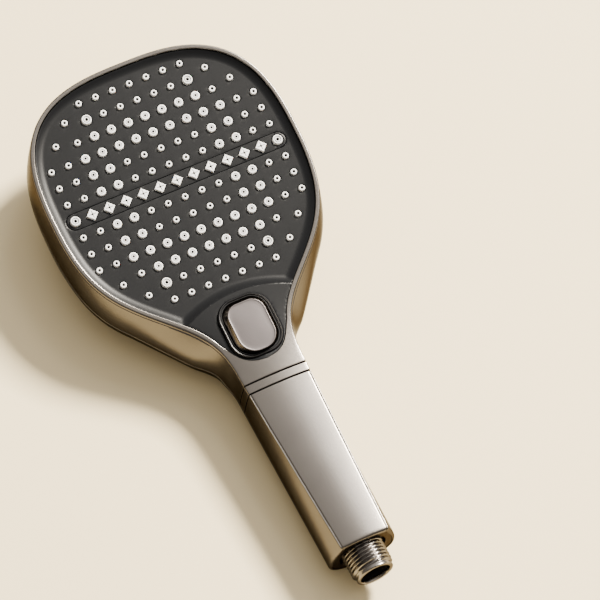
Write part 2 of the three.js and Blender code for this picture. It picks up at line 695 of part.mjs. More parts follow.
// Silicone sheet under the spray face with every small and medium nozzle.
function addNozzleMat() {
  const top = -FIELD_DROP - FACE_THICKNESS - GAP;
  const bottom = top - MAT_THICKNESS;
  const plan = superellipse(MAT_HALF_WIDTH, MAT_HALF_LENGTH, HEAD_SQUARENESS, 28);
  const sheet = solid(extrude(plan, bottom, top));
  const nozzles = nozzlePrisms(0, top - JOIN, 0);
  const openings = [extrude(barOutline(GAP), bottom - OVERSHOOT, OVERSHOOT)];
  for (const [column, row] of JET_PLACES) {
    openings.push(cylinder(
      JET_RADIUS + JET_FLANGE + GAP, bottom - OVERSHOOT, OVERSHOOT, 12,
      column * COLUMN_PITCH, row * ROW_PITCH,
    ));
  }
  const mat = joinAll([sheet, ...nozzles.map(solid)]).subtract(joinAll(openings.map(solid)));
  place(head, 'nozzle_mat', mat, silicone);

  const bar = extrude(barOutline(0), bottom, top);
  const diamonds = DIAMOND_COLUMNS.map((column) => (
    extrude(regularPolygon(DIAMOND_RADIUS, 4, column * COLUMN_PITCH, 0), top - JOIN, 0)
  ));
  place(head, 'diamond_nozzle_bar', joinAll([bar, ...diamonds].map(solid)), silicone);
}

function addJetNozzles() {
  const top = -FIELD_DROP - FACE_THICKNESS - GAP;
  const bottom = top - MAT_THICKNESS;
  JET_PLACES.forEach(([column, row], index) => {
    const jet = lathe([
      [JET_BORE, bottom],
      [JET_RADIUS + JET_FLANGE, bottom],
      [JET_RADIUS + JET_FLANGE, top],
      [JET_RADIUS, top],
      [JET_RADIUS, FACE_LIP_RISE],
      [JET_BORE, FACE_LIP_RISE],
      [JET_BORE, bottom],
    ], 10, column * COLUMN_PITCH, row * ROW_PITCH);
    place(head, `jet_nozzle_${index + 1}`, solid(jet), silicone);
  });
}

// Tray of the water chamber: an outer wall and three walls that part the sprays.
function addChamberTray() {
  const top = -FIELD_DROP - FACE_THICKNESS - MAT_THICKNESS - 2 * GAP;
  const floor = top - TRAY_DEPTH;
  const bottom = floor - TRAY_BASE;
  const ringWall = (halfWidth, halfLength, exponent, wall, sides) => {
    const outer = superellipse(halfWidth, halfLength, exponent, sides);
    const inner = superellipse(halfWidth - wall, halfLength - wall, exponent, sides);
    const room = extrude(inner, floor - OVERSHOOT, top + OVERSHOOT);
    return solid(extrude(outer, floor - JOIN, top)).subtract(solid(room));
  };
  const zoneWall = (pitches, sides) => (
    ringWall(pitches * COLUMN_PITCH, pitches * ROW_PITCH, ZONE_SQUARENESS, ZONE_WALL, sides)
  );
  const stripSlot = (inset, low, high) => {
    const halfWidth = STRIP_WALL_HALF_WIDTH - inset;
    const halfLength = STRIP_WALL_PITCHES * COLUMN_PITCH - inset;
    return solid(extrude(
      roundedRectangle(halfLength, halfWidth, halfWidth - ROUND_END_EASE, 0, 0, 3), low, high,
    ));
  };
  const plan = superellipse(MAT_HALF_WIDTH, MAT_HALF_LENGTH, HEAD_SQUARENESS, 28);
  const base = solid(extrude(plan, bottom, floor));
  const stripWall = stripSlot(0, floor - JOIN, top)
    .subtract(stripSlot(ZONE_WALL, floor - OVERSHOOT, top + OVERSHOOT));
  const zones = zoneWall(OUTER_ZONE_PITCHES, 24).add(zoneWall(INNER_ZONE_PITCHES, 20))
    .subtract(stripSlot(ZONE_WALL / 2, floor, top + OVERSHOOT));
  const outerWall = ringWall(MAT_HALF_WIDTH, MAT_HALF_LENGTH, HEAD_SQUARENESS, TRAY_WALL, 28);
  const inlets = [-1, 0, 1].map((lane, index) => (
    cylinder(
      TRAY_INLET_RADIUS, bottom - OVERSHOOT, floor + OVERSHOOT, 8,
      lane * CHANNEL_SPACING, CHANNEL_ENDS[index] - TRAY_INLET_SETBACK,
    )
  ));
  const tray = joinAll([base, outerWall, zones, stripWall]).subtract(joinAll(inlets.map(solid)));
  place(head, 'chamber_tray', tray, whitePlastic);
  addChannels(bottom - GAP);
}

// Gasket and cover with the three channels between the valve and the tray.
function addChannels(top) {
  const coverTop = top - GASKET_THICKNESS - GAP;
  const bottom = coverTop - CHANNEL_DEPTH - CHANNEL_BASE;
  const startY = -BUTTON_Y + VALVE_RADIUS + COVER_SETBACK;
  const halfWidth = 1.5 * CHANNEL_SPACING + COVER_WALL;
  const lanes = [-1, 0, 1].map((lane, index) => ({
    x: lane * CHANNEL_SPACING,
    endY: CHANNEL_ENDS[index],
  }));
  const footprint = (low, high) => joinAll(lanes.map(({ x, endY }) => solid(box(
    [Math.max(-halfWidth, x - CHANNEL_SPACING / 2 - COVER_WALL), startY, low],
    [Math.min(halfWidth, x + CHANNEL_SPACING / 2 + COVER_WALL), endY + CHANNEL_OVERRUN, high],
  ))));
  const grooves = lanes.map(({ x, endY }) => solid(box(
    [x - CHANNEL_WIDTH / 2, startY + COVER_END_WALL, coverTop - CHANNEL_DEPTH],
    [x + CHANNEL_WIDTH / 2, endY, coverTop + OVERSHOOT],
  )));
  const passages = lanes.map(({ x }) => solid(
    cylinder(PORT_RADIUS, -startY - COVER_SETBACK, -startY + OVERSHOOT, 8).rotateX(Math.PI / 2)
      .translate(x, 0, -PASSAGE_DEPTH),
  ));
  const cover = footprint(bottom, coverTop).subtract(joinAll([...grooves, ...passages]));
  place(head, 'channel_cover', cover, whitePlastic);
  const gasketBottom = coverTop + GAP;
  const openings = lanes.map(({ x, endY }) => solid(box(
    [x - CHANNEL_WIDTH / 2, startY + COVER_END_WALL, gasketBottom - OVERSHOOT],
    [x + CHANNEL_WIDTH / 2, endY, top + OVERSHOOT],
  )));
  const gasket = footprint(gasketBottom, gasketBottom + GASKET_THICKNESS - GAP);
  place(head, 'chamber_gasket', gasket.subtract(joinAll(openings)), blackRubber);
}

// Twists a prism about z by the drive's angle for each millimetre of height.
function twist(geometry) {
  const rate = STEP_ANGLE / PRESS_TRAVEL;
  const position = geometry.attributes.position;
  for (let i = 0; i < position.count; i++) {
    const point = new THREE.Vector2(position.getX(i), position.getY(i));
    point.rotateAround(new THREE.Vector2(), rate * position.getZ(i));
    position.setXY(i, point.x, point.y);
  }
  return geometry;
}

function twistedBar(side, low, high, steps) {
  const outline = new THREE.Shape(regularPolygon(side / Math.SQRT2, 4, 0, 0));
  const options = { depth: high - low, steps, bevelEnabled: false };
  return twist(new THREE.ExtrudeGeometry(outline, options).translate(0, 0, low));
}

// Button cap, bezel, plunger with its helical nut, return spring and seal.
function addButton() {
  const atButton = (geometry) => geometry.translate(0, -BUTTON_Y, 0);
  const lipBottom = NECK_RISE + BEZEL_RISE - BEZEL_LIP;
  const bezelBottom = -FIELD_DROP - FACE_THICKNESS;
  const bezel = solid(extrude(bezelOutline(0), bezelBottom, NECK_RISE + BEZEL_RISE))
    .subtract(solid(extrude(buttonOutline(GAP + 0.2), lipBottom - 1, NECK_RISE + 5)))
    .subtract(solid(extrude(buttonOutline(BUTTON_FLANGE + 2 * GAP), bezelBottom - OVERSHOOT, lipBottom)));
  place(head, 'button_bezel', bezel, blackPlastic);

  const flangeTop = lipBottom - GAP;
  const top = extrude(buttonOutline(-BUTTON_SLOPE), BUTTON_SHOULDER, BUTTON_TOP);
  const foot = extrude(buttonOutline(0), BUTTON_BASE, BUTTON_SHOULDER);
  const flange = extrude(buttonOutline(BUTTON_FLANGE), BUTTON_BASE, flangeTop);
  const cap = wasm.Manifold.hull([solid(top), solid(foot)]).add(solid(flange));
  place(head, 'button_cap', cap, satin);

  const plungerTop = BUTTON_BASE - GAP;
  const roomTop = SPINDLE_TOP + PRESS_TRAVEL + 2 * GAP;
  const body = solid(atButton(lathe([
    [0, PLUNGER_BOTTOM],
    [PLUNGER_RADIUS, PLUNGER_BOTTOM],
    [PLUNGER_RADIUS, plungerTop],
    [0, plungerTop],
  ], 20)));
  const room = solid(atButton(cylinder(DRIVE_ROOM_RADIUS, PLUNGER_BOTTOM + NUT_LENGTH, roomTop, 16)));
  const nut = twistedBar(
    SPINDLE_SIDE + 2 * GAP, PLUNGER_BOTTOM - 0.5, PLUNGER_BOTTOM + NUT_LENGTH + 0.5, 5,
  );
  place(head, 'button_plunger', body.subtract(room).subtract(solid(atButton(nut))), whitePlastic);
  place(head, 'button_spring', solid(atButton(coil(plungerTop))), steel);
}

// Return spring between the valve's lid and the cap's underside.
function coil(plungerTop) {
  const radius = PLUNGER_RADIUS + GAP + SPRING_CLEARANCE + SPRING_WIRE / 2;
  const low = VALVE_TOP + GAP + LID_THICKNESS + GAP + SPRING_WIRE / 2;
  const high = plungerTop - SPRING_WIRE / 2;
  class Helix extends THREE.Curve {
    getPoint(t, target = new THREE.Vector3()) {
      const angle = 2 * Math.PI * SPRING_TURNS * t;
      return target.set(radius * Math.cos(angle), radius * Math.sin(angle), low + (high - low) * t);
    }
  }
  const section = new THREE.Shape(regularPolygon(SPRING_WIRE / 2, 4, 0, 0));
  const options = { extrudePath: new Helix(), steps: 10 * SPRING_TURNS, bevelEnabled: false };
  return new THREE.ExtrudeGeometry(section, options);
}

// Places of the three ports, one for each channel.
function portPlaces() {
  return [-1, 0, 1].map((lane) => {
    const angle = Math.PI / 2 - lane * STEP_ANGLE;
    return { lane, x: PORT_CIRCLE * Math.cos(angle), y: PORT_CIRCLE * Math.sin(angle) };
  });
}

// Selector valve: housing, seat, turning disc with its wheel and spindle, and lid.
function addValve() {
  const atButton = (geometry) => geometry.translate(0, -BUTTON_Y, 0);
  const cavity = VALVE_RADIUS - VALVE_WALL;
  const seatBottom = VALVE_FLOOR + GAP;
  const seatTop = seatBottom + SEAT_THICKNESS;
  const discBottom = seatTop + GAP;
  const discTop = discBottom + DISC_THICKNESS;
  const wheelTop = PLUNGER_BOTTOM - PRESS_TRAVEL - GAP;
  const wheelBottom = wheelTop - WHEEL_THICKNESS;

  place(head, 'valve_body', valveBody(cavity), whitePlastic);

  const seat = solid(cylinder(cavity - GAP, seatBottom, seatTop, 20))
    .subtract(joinAll(portPlaces().map(({ x, y }) => (
      solid(cylinder(PORT_RADIUS, seatBottom - OVERSHOOT, seatTop + OVERSHOOT, 8, x, y))
    ))));
  place(head, 'valve_seat', solid(atButton(geometryOf(seat))), blackRubber);

  const port = portPlaces()[0];
  const disc = solid(cylinder(cavity - 2 * GAP, discBottom, discTop, 20))
    .subtract(solid(cylinder(
      PORT_RADIUS + DISC_PORT_EXTRA, discBottom - OVERSHOOT, discTop + OVERSHOOT, 8, port.x, port.y,
    )))
    .subtract(solid(cylinder(SHAFT_RADIUS + GAP, discBottom - OVERSHOOT, discTop + OVERSHOOT, 12)));
  place(head, 'selector_disc', solid(atButton(geometryOf(disc))), whitePlastic);

  const wheel = solid(extrude(ratchetOutline(cavity - WHEEL_CLEARANCE), wheelBottom, wheelTop))
    .subtract(solid(cylinder(SHAFT_RADIUS + GAP, wheelBottom - OVERSHOOT, wheelTop + OVERSHOOT, 12)));
  place(head, 'ratchet_wheel', solid(atButton(geometryOf(wheel))), bluePlastic);

  const shaft = solid(cylinder(SHAFT_RADIUS, discBottom, wheelTop + 0.2, 12))
    .add(solid(twistedBar(SPINDLE_SIDE, wheelTop + 0.1, SPINDLE_TOP, 10)));
  place(head, 'drive_spindle', solid(atButton(geometryOf(shaft))), steel);

  const lidBottom = VALVE_TOP + GAP;
  const lidTop = lidBottom + LID_THICKNESS;
  const opening = cylinder(PLUNGER_RADIUS + GAP, lidBottom - 4, lidTop + OVERSHOOT, 20);
  const holes = [opening];
  const plate = [cylinder(VALVE_RADIUS, lidBottom, lidTop, 24)];
  lidScrewPlaces().forEach(({ x, y }, index) => {
    plate.push(cylinder(SCREW_HEAD_RADIUS + 0.7, lidBottom, lidTop, 10, x, y));
    holes.push(cylinder(SCREW_RADIUS + GAP, lidBottom - OVERSHOOT, lidTop + OVERSHOOT, 8, x, y));
    addScrew(`valve_cap_screw_${index + 1}`, x, y - BUTTON_Y, lidTop + GAP, LID_THICKNESS + LID_SCREW_BITE);
  });
  const lid = joinAll(plate.map(solid)).subtract(joinAll(holes.map(solid)));
  place(head, 'valve_cap', solid(atButton(geometryOf(lid))), whitePlastic);
}

function lidScrewPlaces() {
  return [90, 210, 330].map((degrees) => {
    const angle = THREE.MathUtils.degToRad(degrees);
    return { x: LID_SCREW_CIRCLE * Math.cos(angle), y: LID_SCREW_CIRCLE * Math.sin(angle) };
  });
}

function ratchetOutline(radius) {
  const points = [];
  for (let tooth = 0; tooth < WHEEL_TEETH; tooth++) {
    const start = (2 * Math.PI * tooth) / WHEEL_TEETH;
    for (const [share, reach] of [[0, 1], [0.5, 0.9], [0.96, 0.78]]) {
      const angle = start + (share * 2 * Math.PI) / WHEEL_TEETH;
      points.push(new THREE.Vector2(radius * reach * Math.cos(angle), radius * reach * Math.sin(angle)));
    }
  }
  return points;
}

// Housing with its cavity, the three passages, the inlet socket and two screw ears.
function valveBody(cavity) {
  const at = (geometry) => solid(geometry.translate(0, -BUTTON_Y, 0));
  const frontY = VALVE_RADIUS + VALVE_WALL;
  const halfWidth = 1.5 * CHANNEL_SPACING;
  const earLow = VALVE_FLOOR - EAR_THICKNESS / 2;
  const earHigh = earLow + EAR_THICKNESS;
  const socket = alongGrip(cylinder(SOCKET_RADIUS, SOCKET_START_Y, SOCKET_MOUTH_Y, 16));
  const inletNeck = alongGrip(cylinder(INLET_NECK_RADIUS, BUTTON_Y, SOCKET_START_Y + 0.5, 10));
  const body = [
    at(cylinder(VALVE_RADIUS, VALVE_BOTTOM, VALVE_TOP, 20)),
    at(box([-halfWidth, 0, VALVE_BOTTOM], [halfWidth, frontY, VALVE_FLOOR])),
    at(box([-EAR_REACH, -EAR_RADIUS, earLow], [EAR_REACH, EAR_RADIUS, earHigh])),
    solid(socket.applyMatrix4(HEAD_INVERSE)),
    solid(inletNeck.applyMatrix4(HEAD_INVERSE)),
    ...[-1, 1].map((side) => at(cylinder(EAR_RADIUS, earLow, earHigh, 10, side * EAR_REACH, 0))),
    ...lidScrewPlaces().map(({ x, y }) => at(
      cylinder(SCREW_HEAD_RADIUS + 0.7, VALVE_TOP - 7, VALVE_TOP, 10, x, y),
    )),
  ];
  const tubeSeat = alongGrip(lathe([
    [0, SOCKET_STOP_Y],
    [TUBE_SOCKET, SOCKET_STOP_Y],
    [TUBE_SOCKET, SOCKET_MOUTH_Y - SEAL_DEPTH],
    [SEAL_SEAT, SOCKET_MOUTH_Y - SEAL_DEPTH],
    [SEAL_SEAT, SOCKET_MOUTH_Y + 1],
    [0, SOCKET_MOUTH_Y + 1],
  ], 16));
  const inlet = alongGrip(cylinder(INLET_RADIUS, BUTTON_Y, SOCKET_STOP_Y + 1, 10));
  const cuts = [
    at(cylinder(cavity, VALVE_FLOOR, VALVE_TOP + 12, 20)),
    solid(tubeSeat.applyMatrix4(HEAD_INVERSE)),
    solid(inlet.applyMatrix4(HEAD_INVERSE)),
    ...[-1, 1].map((side) => at(
      cylinder(SCREW_RADIUS + GAP, earLow - 1, earHigh + 1, 8, side * EAR_REACH, 0),
    )),
    ...lidScrewPlaces().map(({ x, y }) => at(
      cylinder(SCREW_RADIUS + GAP, VALVE_TOP - 6, VALVE_TOP + 1, 8, x, y),
    )),
  ];
  for (const { lane, x, y } of portPlaces()) {
    cuts.push(at(cylinder(PORT_RADIUS, -PASSAGE_DEPTH, VALVE_FLOOR + 1, 8, x, y)));
    const start = new THREE.Vector3(x, y - BUTTON_Y, -PASSAGE_DEPTH);
    const end = new THREE.Vector3(lane * CHANNEL_SPACING, frontY + 1 - BUTTON_Y, -PASSAGE_DEPTH);
    cuts.push(solid(rod(start, end, PORT_RADIUS)));
  }
  return joinAll(body).subtract(joinAll(cuts));
}

// Round bar between two points.
function rod(start, end, radius) {
  const length = start.distanceTo(end);
  const geometry = cylinder(radius, -radius / 2, length, 8);
  const direction = end.clone().sub(start).normalize();
  const turn = new THREE.Quaternion().setFromUnitVectors(new THREE.Vector3(0, 0, 1), direction);
  return geometry.applyQuaternion(turn).translate(start.x, start.y, start.z);
}

// Screw with a round head whose underside is at z.
function addScrew(name, x, y, z, length) {
  const screw = lathe([
    [0, z - length],
    [SCREW_RADIUS, z - length + 0.8],
    [SCREW_RADIUS, z],
    [SCREW_HEAD_RADIUS, z],
    [SCREW_HEAD_RADIUS - 0.4, z + SCREW_HEAD_HEIGHT],
    [0, z + SCREW_HEAD_HEIGHT],
  ], 8, x, y);
  place(head, name, solid(screw), steel);
}

function addBodyScrews() {
  const top = VALVE_FLOOR + EAR_THICKNESS / 2 + GAP;
  addScrew('body_screw_left', -EAR_REACH, -BUTTON_Y, top, EAR_THICKNESS + EAR_SCREW_BITE);
  addScrew('body_screw_right', EAR_REACH, -BUTTON_Y, top, EAR_THICKNESS + EAR_SCREW_BITE);
}

// Threaded inlet with its bore, and the socket for the water tube.
function inletProfile() {
  const endY = GRIP_END_Y + THREAD_END;
  const root = THREAD_RADIUS - THREAD_DEPTH;
  const innerY = GRIP_END_Y - CONNECTOR_INNER_END;
  const profile = [
    [INLET_BORE, endY],
    [INLET_BORE, GRIP_END_Y - BORE_STEP_FROM],
    [TUBE_BORE, GRIP_END_Y - BORE_STEP_TO],
    [TUBE_BORE, innerY + TUBE_SOCKET_DEPTH],
    [TUBE_SOCKET, innerY + TUBE_SOCKET_DEPTH],
    [TUBE_SOCKET, innerY + SEAL_DEPTH],
    [SEAL_SEAT, innerY + SEAL_DEPTH],
    [SEAL_SEAT, innerY],
    [CONNECTOR_NECK, innerY],
    [CONNECTOR_NECK, GRIP_END_Y - END_DISH],
    [root, GRIP_END_Y - END_DISH + GAP],
  ];
  const threadEnd = endY - THREAD_RUN_OUT;
  for (let crest = THREAD_CRESTS - 1; crest >= 0; crest--) {
    const middle = threadEnd - (crest + 0.5) * THREAD_PITCH;
    profile.push([root, middle - THREAD_FLANK * THREAD_PITCH]);
    profile.push([THREAD_RADIUS, middle]);
    profile.push([root, middle + THREAD_FLANK * THREAD_PITCH]);
  }
  profile.push([root, endY], [INLET_BORE, endY]);
  return profile;
}

// Collar inside the grip that carries the inner end of the connector.
function addGripBush(innerY) {
  const plug = casingBody(WALL + GAP, WALL + GAP).intersect(
    solid(box([-GRIP_ROOM, -innerY - BUSH_LENGTH, 0], [GRIP_ROOM, -innerY, GRIP_ROOM])),
  );
  const hole = alongGrip(cylinder(
    CONNECTOR_NECK + GAP, innerY - OVERSHOOT, innerY + BUSH_LENGTH + OVERSHOOT, 16,
  ));
  place(shower, 'grip_bush', plug.subtract(solid(hole)), whitePlastic);
}

function addWaterLine() {
  place(shower, 'inlet_connector', solid(alongGrip(lathe(inletProfile(), 16))), steel);
  const innerY = GRIP_END_Y - CONNECTOR_INNER_END;
  const tubeEnd = innerY + TUBE_SOCKET_DEPTH - GAP;
  const tubeStart = SOCKET_STOP_Y + GAP;
  const tube = lathe([
    [TUBE_BORE, tubeStart],
    [TUBE_RADIUS, tubeStart],
    [TUBE_RADIUS, tubeEnd],
    [TUBE_BORE, tubeEnd],
    [TUBE_BORE, tubeStart],
  ], 16);
  place(shower, 'water_tube', solid(alongGrip(tube)), whitePlastic);

  const sealRadius = TUBE_RADIUS + GAP + SEAL_WIRE / 2;
  const tubeSeal = (y) => solid(alongGrip(ring(sealRadius, SEAL_WIRE, y, 12, 5)));
  place(shower, 'tube_seal_front', tubeSeal(SOCKET_MOUTH_Y - SEAL_DEPTH / 2), blackRubber);
  place(shower, 'tube_seal_rear', tubeSeal(innerY + SEAL_DEPTH / 2), blackRubber);
  const dishFloor = GRIP_END_Y - END_DISH;
  const washer = lathe([
    [CONNECTOR_NECK + 2 * GAP, dishFloor + GAP],
    [THREAD_RADIUS, dishFloor + GAP],
    [THREAD_RADIUS, dishFloor + GAP + WASHER_THICKNESS],
    [CONNECTOR_NECK + 2 * GAP, dishFloor + GAP + WASHER_THICKNESS],
    [CONNECTOR_NECK + 2 * GAP, dishFloor + GAP],
  ], 16);
  place(shower, 'connector_seal', solid(alongGrip(washer)), blackRubber);
  addGripBush(innerY + GAP);

  const clipY = GRIP_END_Y - END_CAP_THICKNESS - GAP;
  const clip = lathe([
    [CONNECTOR_NECK + GAP, clipY - CLIP_WIDTH],
    [CONNECTOR_NECK + CLIP_HEIGHT, clipY - CLIP_WIDTH],
    [CONNECTOR_NECK + CLIP_HEIGHT, clipY],
    [CONNECTOR_NECK + GAP, clipY],
    [CONNECTOR_NECK + GAP, clipY - CLIP_WIDTH],
  ], 18);
  const mouth = box(
    [-CLIP_MOUTH_HALF_WIDTH, -clipY - OVERSHOOT, 0],
    [CLIP_MOUTH_HALF_WIDTH, -clipY + CLIP_WIDTH + OVERSHOOT, AXIS_HEIGHT],
  );
  place(shower, 'connector_clip', solid(alongGrip(clip)).subtract(solid(mouth)), steel);

  const regulator = lathe([
    [REGULATOR_BORE, GRIP_END_Y - REGULATOR_INSIDE],
    [INLET_BORE - GAP, GRIP_END_Y - REGULATOR_INSIDE],
    [INLET_BORE - GAP, GRIP_END_Y + REGULATOR_OUTSIDE],
    [REGULATOR_MOUTH, GRIP_END_Y + REGULATOR_OUTSIDE],
    [REGULATOR_BORE, GRIP_END_Y - REGULATOR_INSIDE],
  ], 16);
  place(shower, 'flow_regulator', solid(alongGrip(regulator)), bluePlastic);
  const screenY = GRIP_END_Y + REGULATOR_OUTSIDE + GAP;
  const screen = cylinder(INLET_BORE - GAP, screenY, screenY + SCREEN_THICKNESS, 16);
  const hole = SCREEN_HOLE_HALF_WIDTH;
  const meshHoles = [];
  for (const x of [-SCREEN_PITCH, 0, SCREEN_PITCH]) {
    for (const z of [-SCREEN_PITCH, 0, SCREEN_PITCH]) {
      meshHoles.push(box(
        [x - hole, -screenY - SCREEN_THICKNESS - OVERSHOOT, AXIS_HEIGHT + z - hole],
        [x + hole, -screenY + OVERSHOOT, AXIS_HEIGHT + z + hole],
      ));
    }
  }
  place(
    shower, 'inlet_screen',
    solid(alongGrip(screen)).subtract(joinAll(meshHoles.map(solid))), steel,
  );
}

function addPlungerSeal() {
  const inner = PLUNGER_RADIUS + GAP;
  const outer = VALVE_RADIUS - VALVE_WALL - GAP;
  const seal = lathe([
    [inner, VALVE_TOP - SEAL_DEPTH],
    [outer, VALVE_TOP - SEAL_DEPTH],
    [outer, VALVE_TOP],
    [inner, VALVE_TOP],
    [inner, VALVE_TOP - SEAL_DEPTH],
  ], 16, 0, -BUTTON_Y);
  place(head, 'plunger_seal', solid(seal), blackRubber);
}

addCasings();
addEndCap();
addFacePlate();
addCentreStrip();
addNozzleMat();
addJetNozzles();
addChamberTray();
addButton();
addPlungerSeal();
addValve();
addBodyScrews();
addWaterLine();

// The origin is on the ground, under the middle of the overall length.
const HEAD_TOP_Y = HEAD_HALF_LENGTH * Math.cos(TILT) + bulge(HEAD_HALF_LENGTH);
shower.position.y = (GRIP_END_Y + THREAD_END - HEAD_TOP_Y) / 2;

export default shower;
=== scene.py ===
"""Looks of the handheld shower head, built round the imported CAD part.

Lengths are in millimetres in two frames. The head frame has its origin at the middle of
the spray face: +y is the top of the head and +z the face normal. The part frame has the
same origin in plan, but stands level on the ground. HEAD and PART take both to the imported
model's frame, which is in metres, as are the camera, the light and the floor.
"""
import math

import bmesh
import bpy
import numpy as np
from mathutils import Matrix, Vector
from mathutils.geometry import delaunay_2d_cdt


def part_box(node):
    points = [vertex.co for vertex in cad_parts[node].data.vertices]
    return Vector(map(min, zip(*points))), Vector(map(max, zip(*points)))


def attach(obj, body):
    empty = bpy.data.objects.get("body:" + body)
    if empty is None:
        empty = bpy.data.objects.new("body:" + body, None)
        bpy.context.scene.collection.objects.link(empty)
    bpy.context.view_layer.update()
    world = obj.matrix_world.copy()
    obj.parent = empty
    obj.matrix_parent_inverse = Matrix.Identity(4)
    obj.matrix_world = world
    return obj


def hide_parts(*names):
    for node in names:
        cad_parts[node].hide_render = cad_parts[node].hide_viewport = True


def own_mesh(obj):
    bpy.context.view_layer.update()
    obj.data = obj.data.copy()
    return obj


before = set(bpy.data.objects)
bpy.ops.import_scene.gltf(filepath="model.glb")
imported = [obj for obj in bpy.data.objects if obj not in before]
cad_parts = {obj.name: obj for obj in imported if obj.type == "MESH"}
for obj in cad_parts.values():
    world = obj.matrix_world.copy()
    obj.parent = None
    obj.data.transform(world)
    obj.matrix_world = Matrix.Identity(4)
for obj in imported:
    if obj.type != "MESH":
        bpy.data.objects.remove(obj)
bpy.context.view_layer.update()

MM = 0.001

# ---- Sizes, as in the CAD

GAP = 0.3
TILT = math.radians(8.5)
PLAN = math.cos(TILT)
HEAD_HALF_WIDTH = 65.6
HEAD_HALF_LENGTH = 65.0
HEAD_SQUARENESS = 2.84
RIM_RISE = 0.8
RIM_WIDTH = 2.2
SEAM_DEPTH = 17.0
SHOULDER = (42.3, 58.5)
# Lengths of the handles of the edge's curves, at the head's side, the shoulder and the neck.
SIDE_HANDLE = 30.6
SHOULDER_HANDLE = (15.4, 15.1)
NECK_HANDLE = 23.4
NECK_HALF_WIDTH = 16.7
NECK_Y = 103.5
GRIP_END_Y = 200.8
GRIP_END_HALF_WIDTH = 12.5
GRIP_HALF_WIDTH = 17.4
GRIP_FRONT_HEIGHT = 29.2
GRIP_MID_HEIGHT = 13.5
HEAD_LIFT = 14.4  # the face's middle over the grip's front
FACE_HEIGHT = GRIP_FRONT_HEIGHT + HEAD_LIFT
GRIP_END_LIFT = 3.0
FRONT_CROWN = 1.0
CROWN_FROM_Y, CROWN_FULL_Y = 60, 92
BAND_Y = 106.7
BAND_LENGTH = 4.8
GROOVE_WIDTH = 0.6
BACK_ROUNDNESS = 2.4
REST_TRIM = 0.4
REST_FROM_Y = 112.0
REST_TO_Y = 30.0
KEEL_RISE = 0.0025
KEEL_SHARE = 0.34
FIELD = -1.2
FACE_THICKNESS = 2.4
FACE_LIP_RISE = 0.2
FACE_LIP_WIDTH = 4.2
FACE_END_Y = 99.2
FACE_TAPER_Y = 84.0
PITCH = 9.0
SMALL_RADIUS = 1.6
MEDIUM_RADIUS = 2.25
JET_RADIUS = 2.5
DIAMOND_RADIUS = 3.0
NOZZLE_CLEARANCE = 0.4
STRIP_HALF_LENGTH = 58.5
STRIP_HALF_WIDTH = 4.3
BUTTON_FROM_FACE_END = 18.1
BUTTON_Y = FACE_END_Y - BUTTON_FROM_FACE_END
AXIS_HEIGHT = (GRIP_FRONT_HEIGHT + GRIP_END_LIFT - REST_TRIM) / 2
THREAD_RADIUS = 10.48
THREAD_PITCH = 1.814
THREAD_DEPTH = 1.16
THREAD_END = 13.2
INLET_BORE = 7.5
END_DISH = 2.4
END_DISH_MARGIN = 1.5
END_DISH_RADIUS = THREAD_RADIUS + END_DISH_MARGIN
END_CAP_THICKNESS = 5.0

# The strip lies evenly about the middle of the face, half its thickness under the field.
STRIP_LOW, STRIP_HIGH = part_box("centre_strip")
FACE_NORMAL = Vector((0, -math.sin(TILT), math.cos(TILT)))
STRIP_MIDDLE = (FIELD - FACE_THICKNESS / 2) * MM
FACE_CENTRE = (STRIP_LOW + STRIP_HIGH) / 2 - FACE_NORMAL * STRIP_MIDDLE
HEAD = Matrix.Translation(FACE_CENTRE) @ Matrix.Rotation(TILT, 4, "X") @ Matrix.Scale(MM, 4)
PART = Matrix.Translation((0, FACE_CENTRE.y, 0)) @ Matrix.Scale(MM, 4)


# ---- Meshes

def distinct(points):
    """Which points are the first of those that fall together, and each point's place among them."""
    _, first, index = np.unique(
        np.round(points, 4), axis=0, return_index=True, return_inverse=True
    )
    return first, index.reshape(-1)


def welded(points, faces, parts):
    """Points that fall together become one, and faces that lose their area go."""
    points = np.asarray(points, float)
    first, index = distinct(points)
    kept, kept_parts = [], []
    for number, face in enumerate(faces):
        ring = []
        for corner in face:
            vertex = int(index[corner])
            if not ring or ring[-1] != vertex:
                ring.append(vertex)
        if len(ring) > 1 and ring[0] == ring[-1]:
            ring.pop()
        if len(set(ring)) == len(ring) and len(ring) >= 3:
            kept.append(ring)
            kept_parts.append(parts[number])
    return points[first], kept, kept_parts


def add_object(name, data):
    thing = bpy.data.objects.new(name, data)
    bpy.context.scene.collection.objects.link(thing)
    return thing


def piece(name, solid, finishes, place, body="casing", crease=32, weigh=False):
    """A mesh object, NAME_look, that rides on a body and stands for the CAD node NAME."""
    points, faces, parts = welded(*solid)
    mesh = bpy.data.meshes.new(name + "_look")
    mesh.from_pydata([tuple(p) for p in points], [], faces)
    for finish in finishes:
        mesh.materials.append(finish)
    mesh.polygons.foreach_set("material_index", parts)
    mesh.transform(place)
    work = bmesh.new()
    work.from_mesh(mesh)
    bmesh.ops.recalc_face_normals(work, faces=work.faces)
    work.to_mesh(mesh)
    work.free()
    mesh.shade_smooth()
    mesh.set_sharp_from_angle(angle=math.radians(crease))
    thing = add_object(name + "_look", mesh)
    if weigh:
        thing.modifiers.new("even_shading", "WEIGHTED_NORMAL").keep_sharp = True
    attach(thing, body)
    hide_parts(name)
    return thing


